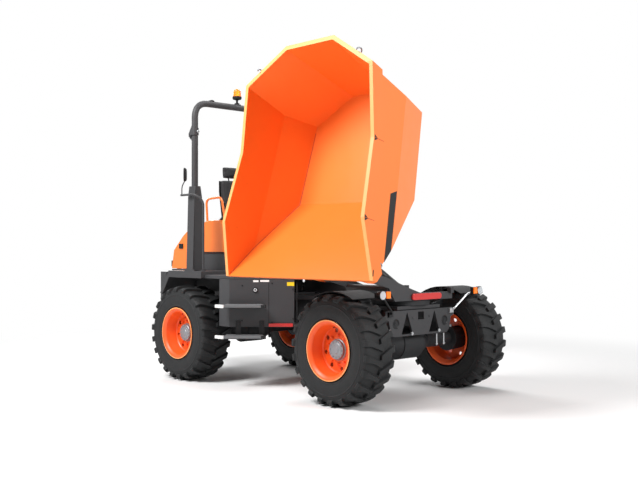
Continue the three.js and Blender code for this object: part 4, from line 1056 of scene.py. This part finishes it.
def steering_wheel():
    centre = Vector((-0.728, 0, 1.902))
    tilt = Matrix.Translation(centre) @ Matrix.Rotation(math.radians(-22.5), 4, "Y")
    rim_shape, hub_shape = Shape(), Shape()
    ring = [(x, y, 0) for x, y in circle((0, 0), 0.17, 56)]
    rim_shape.tube(ring, 0.0145, 16, closed=True)
    for turn in (math.radians(90), math.radians(-90), 0.0):
        c, s = math.cos(turn), math.sin(turn)
        spoke = [(0.03, -0.017), (0.16, -0.011), (0.16, 0.011), (0.03, 0.017)]
        rim_shape.prism([(c * a - s * b, s * a + c * b) for a, b in spoke], "z", -0.006, 0.004)
    hub_shape.lathe([(AXIS, -0.038), (0.03, -0.038), (0.039, -0.018), (0.0395, 0.006),
                     (0.034, 0.0125), (AXIS, 0.0138)], (0, 0, 0), (0, 0, 1), 32)
    place = MACHINE @ tilt
    rim_shape.piece("steering_rim", "plastic", "steering_wheel", place, bevel=0.0015,
                    replaces=["steering_wheel"])
    hub_shape.piece("steering_boss", "black", "steering_wheel", place, bevel=0.001)
    knob = Shape()
    knob.bar((0.12, 0.12, 0.01), (0.12, 0.12, 0.03), 0.006, sides=12)
    knob.lathe([(AXIS, 0.026), (0.012, 0.028), (0.0175, 0.04), (0.013, 0.053),
                (AXIS, 0.056)], (0.12, 0.12, 0), (0, 0, 1), 24)
    knob.piece("steering_knob", "black", "steering_wheel", place)


for name, sign in SIDES:
    console(name, sign)
controls()
steering_wheel()

# ---------- seat ----------

VOXEL = 0.006
SEAM_HALF = 0.006


def pillow(width, rows):
    """A crowned closed pad, lofted through rounded oblongs.

    Each row is the (x, z) of the back face, the (x, z) in which the pad grows, its
    thickness there and the share of the full width.
    """
    rings = []
    for place, normal, thick, share in rows:
        ring = []
        for y, t in squarish(width / 2 * share, 0.5, (0.42, 0.55), 28):
            grown = Vector((normal[0], 0, normal[1])) * ((t + 0.5) * thick)
            ring.append(Vector((place[0], y, place[1])) + grown)
        rings.append(ring)
    return Shape().loft(rings)


def path_rows(path, thick, out):
    """Rows along a path of (x, z), thinner and narrower at both ends."""
    rows = []
    last = len(path) - 1
    for i, point in enumerate(path):
        edge = min(i, last - i)
        share = min(1.0, 0.5 + 0.5 * math.sqrt(min(1, edge / 2.0)))
        grown = thick * (0.35 + 0.65 * min(1, share * 1.05))
        rows.append((point, out, grown, 0.9 + 0.1 * share))
    return rows


PRESSURE = 4.0
CLOTH_STEPS = 20


def swell(piece, seams, cap):
    """Remeshes a pad, pins its seams, blows it up as cloth and keeps at most cap of it."""
    remesh = piece.modifiers.new("remesh", "REMESH")
    remesh.mode = "VOXEL"
    remesh.voxel_size = VOXEL
    bake(piece)
    start = [v.co.copy() for v in piece.data.vertices]
    held = piece.vertex_groups.new(name="held")
    for v in piece.data.vertices:
        near = seams(v.co - ORIGIN)
        if near > 0:
            held.add([v.index], near, "REPLACE")
    cloth = piece.modifiers.new("cloth", "CLOTH")
    settings = cloth.settings
    settings.use_pressure = True
    settings.uniform_pressure_force = PRESSURE
    settings.effector_weights.gravity = 0
    settings.vertex_group_mass = "held"
    settings.tension_stiffness = settings.compression_stiffness = 12
    settings.shear_stiffness = 6
    settings.quality = 5
    scene = bpy.context.scene
    for step in range(1, CLOTH_STEPS + 1):
        scene.frame_set(step)
    bake(piece)
    scene.frame_set(1)
    for v, was in zip(piece.data.vertices, start):
        move = v.co - was
        if move.length > cap:
            v.co = was + move * (cap / move.length)
    piece.vertex_groups.clear()
    piece.data.shade_smooth()
    smooth = piece.modifiers.new("smooth", "SMOOTH")
    smooth.factor = 0.5
    smooth.iterations = 2
    finer = piece.modifiers.new("finer", "SUBSURF")
    finer.levels = finer.render_levels = 1
    bake(piece)
    piece.data.shade_smooth()


def near_line(distance):
    return 1.0 if abs(distance) < SEAM_HALF else 0.0


def seat():
    cushion = pillow(0.448, path_rows(
        [(-1.492, 1.612), (-1.47, 1.611), (-1.43, 1.61), (-1.36, 1.61), (-1.28, 1.61),
         (-1.2, 1.61), (-1.12, 1.611), (-1.07, 1.612), (-1.035, 1.615), (-1.018, 1.622)],
        0.088, (0, 1)))
    pad = cushion.piece("seat_pad", "vinyl", smooth=180, replaces=["seat_cushion"])

    def cushion_seams(p):
        if p.z < 1.613:
            return 1.0
        if p.z > 1.64 and -1.42 < p.x < -1.06:
            hit = max(near_line(abs(p.y) - 0.135), near_line(p.x + 1.33), near_line(p.x + 1.18))
            return hit if abs(p.y) < 0.142 else 0.0
        return 0.0

    swell(pad, cushion_seams, 0.022)

    back_path = [(-1.512, 1.745), (-1.513, 1.77), (-1.518, 1.82), (-1.532, 1.9),
                 (-1.548, 1.98), (-1.563, 2.06), (-1.575, 2.14), (-1.585, 2.22),
                 (-1.59, 2.28), (-1.592, 2.312), (-1.591, 2.328)]
    back = pillow(0.404, path_rows(back_path, 0.082, (0.982, 0.19)))
    rest = back.piece("seat_backrest", "vinyl", smooth=180, replaces=["seat_back"])

    def back_seams(p):
        front = p.x - (-1.512 - 0.17 * (p.z - 1.745))
        if front < 0.012:
            return 1.0
        if front > 0.05 and 1.8 < p.z < 2.29:
            hit = max(near_line(abs(p.y) - 0.125), near_line(p.z - 1.93), near_line(p.z - 2.05),
                      near_line(p.z - 2.17))
            return hit if abs(p.y) < 0.132 else 0.0
        return 0.0

    swell(rest, back_seams, 0.022)

    head_path = [(-1.64, 2.378), (-1.643, 2.392), (-1.647, 2.42), (-1.65, 2.45),
                 (-1.651, 2.48), (-1.65, 2.5), (-1.648, 2.508)]
    head = pillow(0.236, path_rows(head_path, 0.066, (1, 0.04)))
    headrest = head.piece("seat_headrest", "vinyl", smooth=180)
    swell(headrest, lambda p: 1.0 if p.x < -1.632 else 0.0, 0.012)

    shell = Shape()
    shell.prism([(-1.5, 1.6005), (-1.02, 1.6005), (-1.004, 1.622), (-1.02, 1.614),
                 (-1.5, 1.611)], "y", -0.236, 0.236)
    shell.prism([(-1.514, 1.735), (-1.508, 1.735), (-1.54, 1.9), (-1.592, 2.22),
                 (-1.597, 2.335), (-1.6, 2.335), (-1.598, 2.2), (-1.545, 1.89)],
                "y", -0.2, 0.2)
    shell.prism([(-1.5135, 1.5), (-1.5005, 1.5), (-1.5005, 1.76), (-1.5135, 1.76)],
                "y", -0.148, 0.148)
    for y in (-0.05, 0.05):
        shell.tube([(-1.572, y, 2.27), (-1.586, y, 2.33), (-1.608, y, 2.395)], 0.008, 14)
    shell.piece("seat_shell", "plastic", bevel=0.003)
    piping = Shape()
    for side in (-1, 1):
        y = side * 0.135
        piping.tube([(-1.41, y, 1.6975), (-1.24, y, 1.699), (-1.07, y, 1.6975)], 0.0022, 8)
    piping.piece("seat_piping", "black")


seat()

# ---------- hood, tail lamps and tip ram ----------

HOOD_LEAN = 0.045 / 0.232  # the rear of the hood runs forward this much as it rises


def rear_details():
    louvres, latches = Shape(), Shape()
    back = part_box("engine_hood")[0][0] - ORIGIN.x
    for k in range(6):
        z = 1.29 + 0.03 * k
        x = back + (z - 1.253) * HOOD_LEAN
        ring = [(x - 0.0042, z), (x + 0.0016, z), (x + 0.001 + 0.018 * HOOD_LEAN, z + 0.018)]
        louvres.prism(ring, "y", -0.33, 0.33)
    for side in (-1, 1):
        near, far = side * 0.5002, side * 0.512
        latches.box((-1.665, near, 1.275), (-1.63, far, 1.33))
        latches.box((-2.005, near, 1.5), (-1.925, far, 1.56))
    louvres.piece("hood_louvres", "black", "engine_hood", bevel=0.0008)
    lamps, ruby, amber = Shape(), Shape(), Shape()
    x = back + 0.022 * HOOD_LEAN
    for side in (-1, 1):
        for shape, near, far, grow in ((lamps, 0.372, 0.478, 0.0), (ruby, 0.43, 0.474, 0.004),
                                       (amber, 0.376, 0.427, 0.004)):
            shape.box((x - 0.012 - grow, side * near, 1.275 + grow),
                      (x + 0.03, side * far, 1.35 - grow))
    lamps.piece("tail_lamp_housings", "black", "engine_hood", bevel=0.003)
    ruby.piece("tail_lamps", "ruby", "engine_hood", bevel=0.004, segments=3)
    amber.piece("tail_indicators", "amber", "engine_hood", bevel=0.004, segments=3)
    latches.piece("hood_latches", "plastic", "engine_hood", bevel=0.002)


rear_details()


def tip_ram():
    """Gland, ports and a clipped hose on the tip cylinder's barrel."""
    base = joint_point("tip_cylinder_swing") - ORIGIN
    eye = (SKIP @ Vector((-0.27, 0, 0))) - ORIGIN
    way = (eye - base).normalized()
    up = Vector((-1, 0, 0))
    gland, ports, hoses = Shape(), Shape(), Shape()
    gland.bar(base + way * 0.462, base + way * 0.4995, 0.0485, sides=36)
    gland.bar(base + way * 0.07, base + way * 0.09, 0.0475, sides=36)
    gland.piece("tip_ram_gland", "black", "tip_cylinder", bevel=0.002)
    for d in (0.11, 0.425):
        place = base + way * d + up * 0.04
        ports.bar(place, place + up * 0.026, 0.013, sides=6)
        ports.bar(place + up * 0.02, place + up * 0.034, 0.01, sides=18)
    ports.piece("tip_ram_ports", "zinc", "tip_cylinder", bevel=0.0008)
    start = base + way * 0.425 + up * 0.072
    side = Vector((0, 0, 0.016))
    hoses.tube(rounded([start, start + up * 0.012 + side, base + way * 0.36 + up * 0.062 + side,
                        base + way * 0.14 + up * 0.06 + side, base + way * 0.13 + up * 0.078],
                       0.03, 5), 0.0075, 14)
    hoses.piece("tip_ram_hose", "black", "tip_cylinder")


tip_ram()
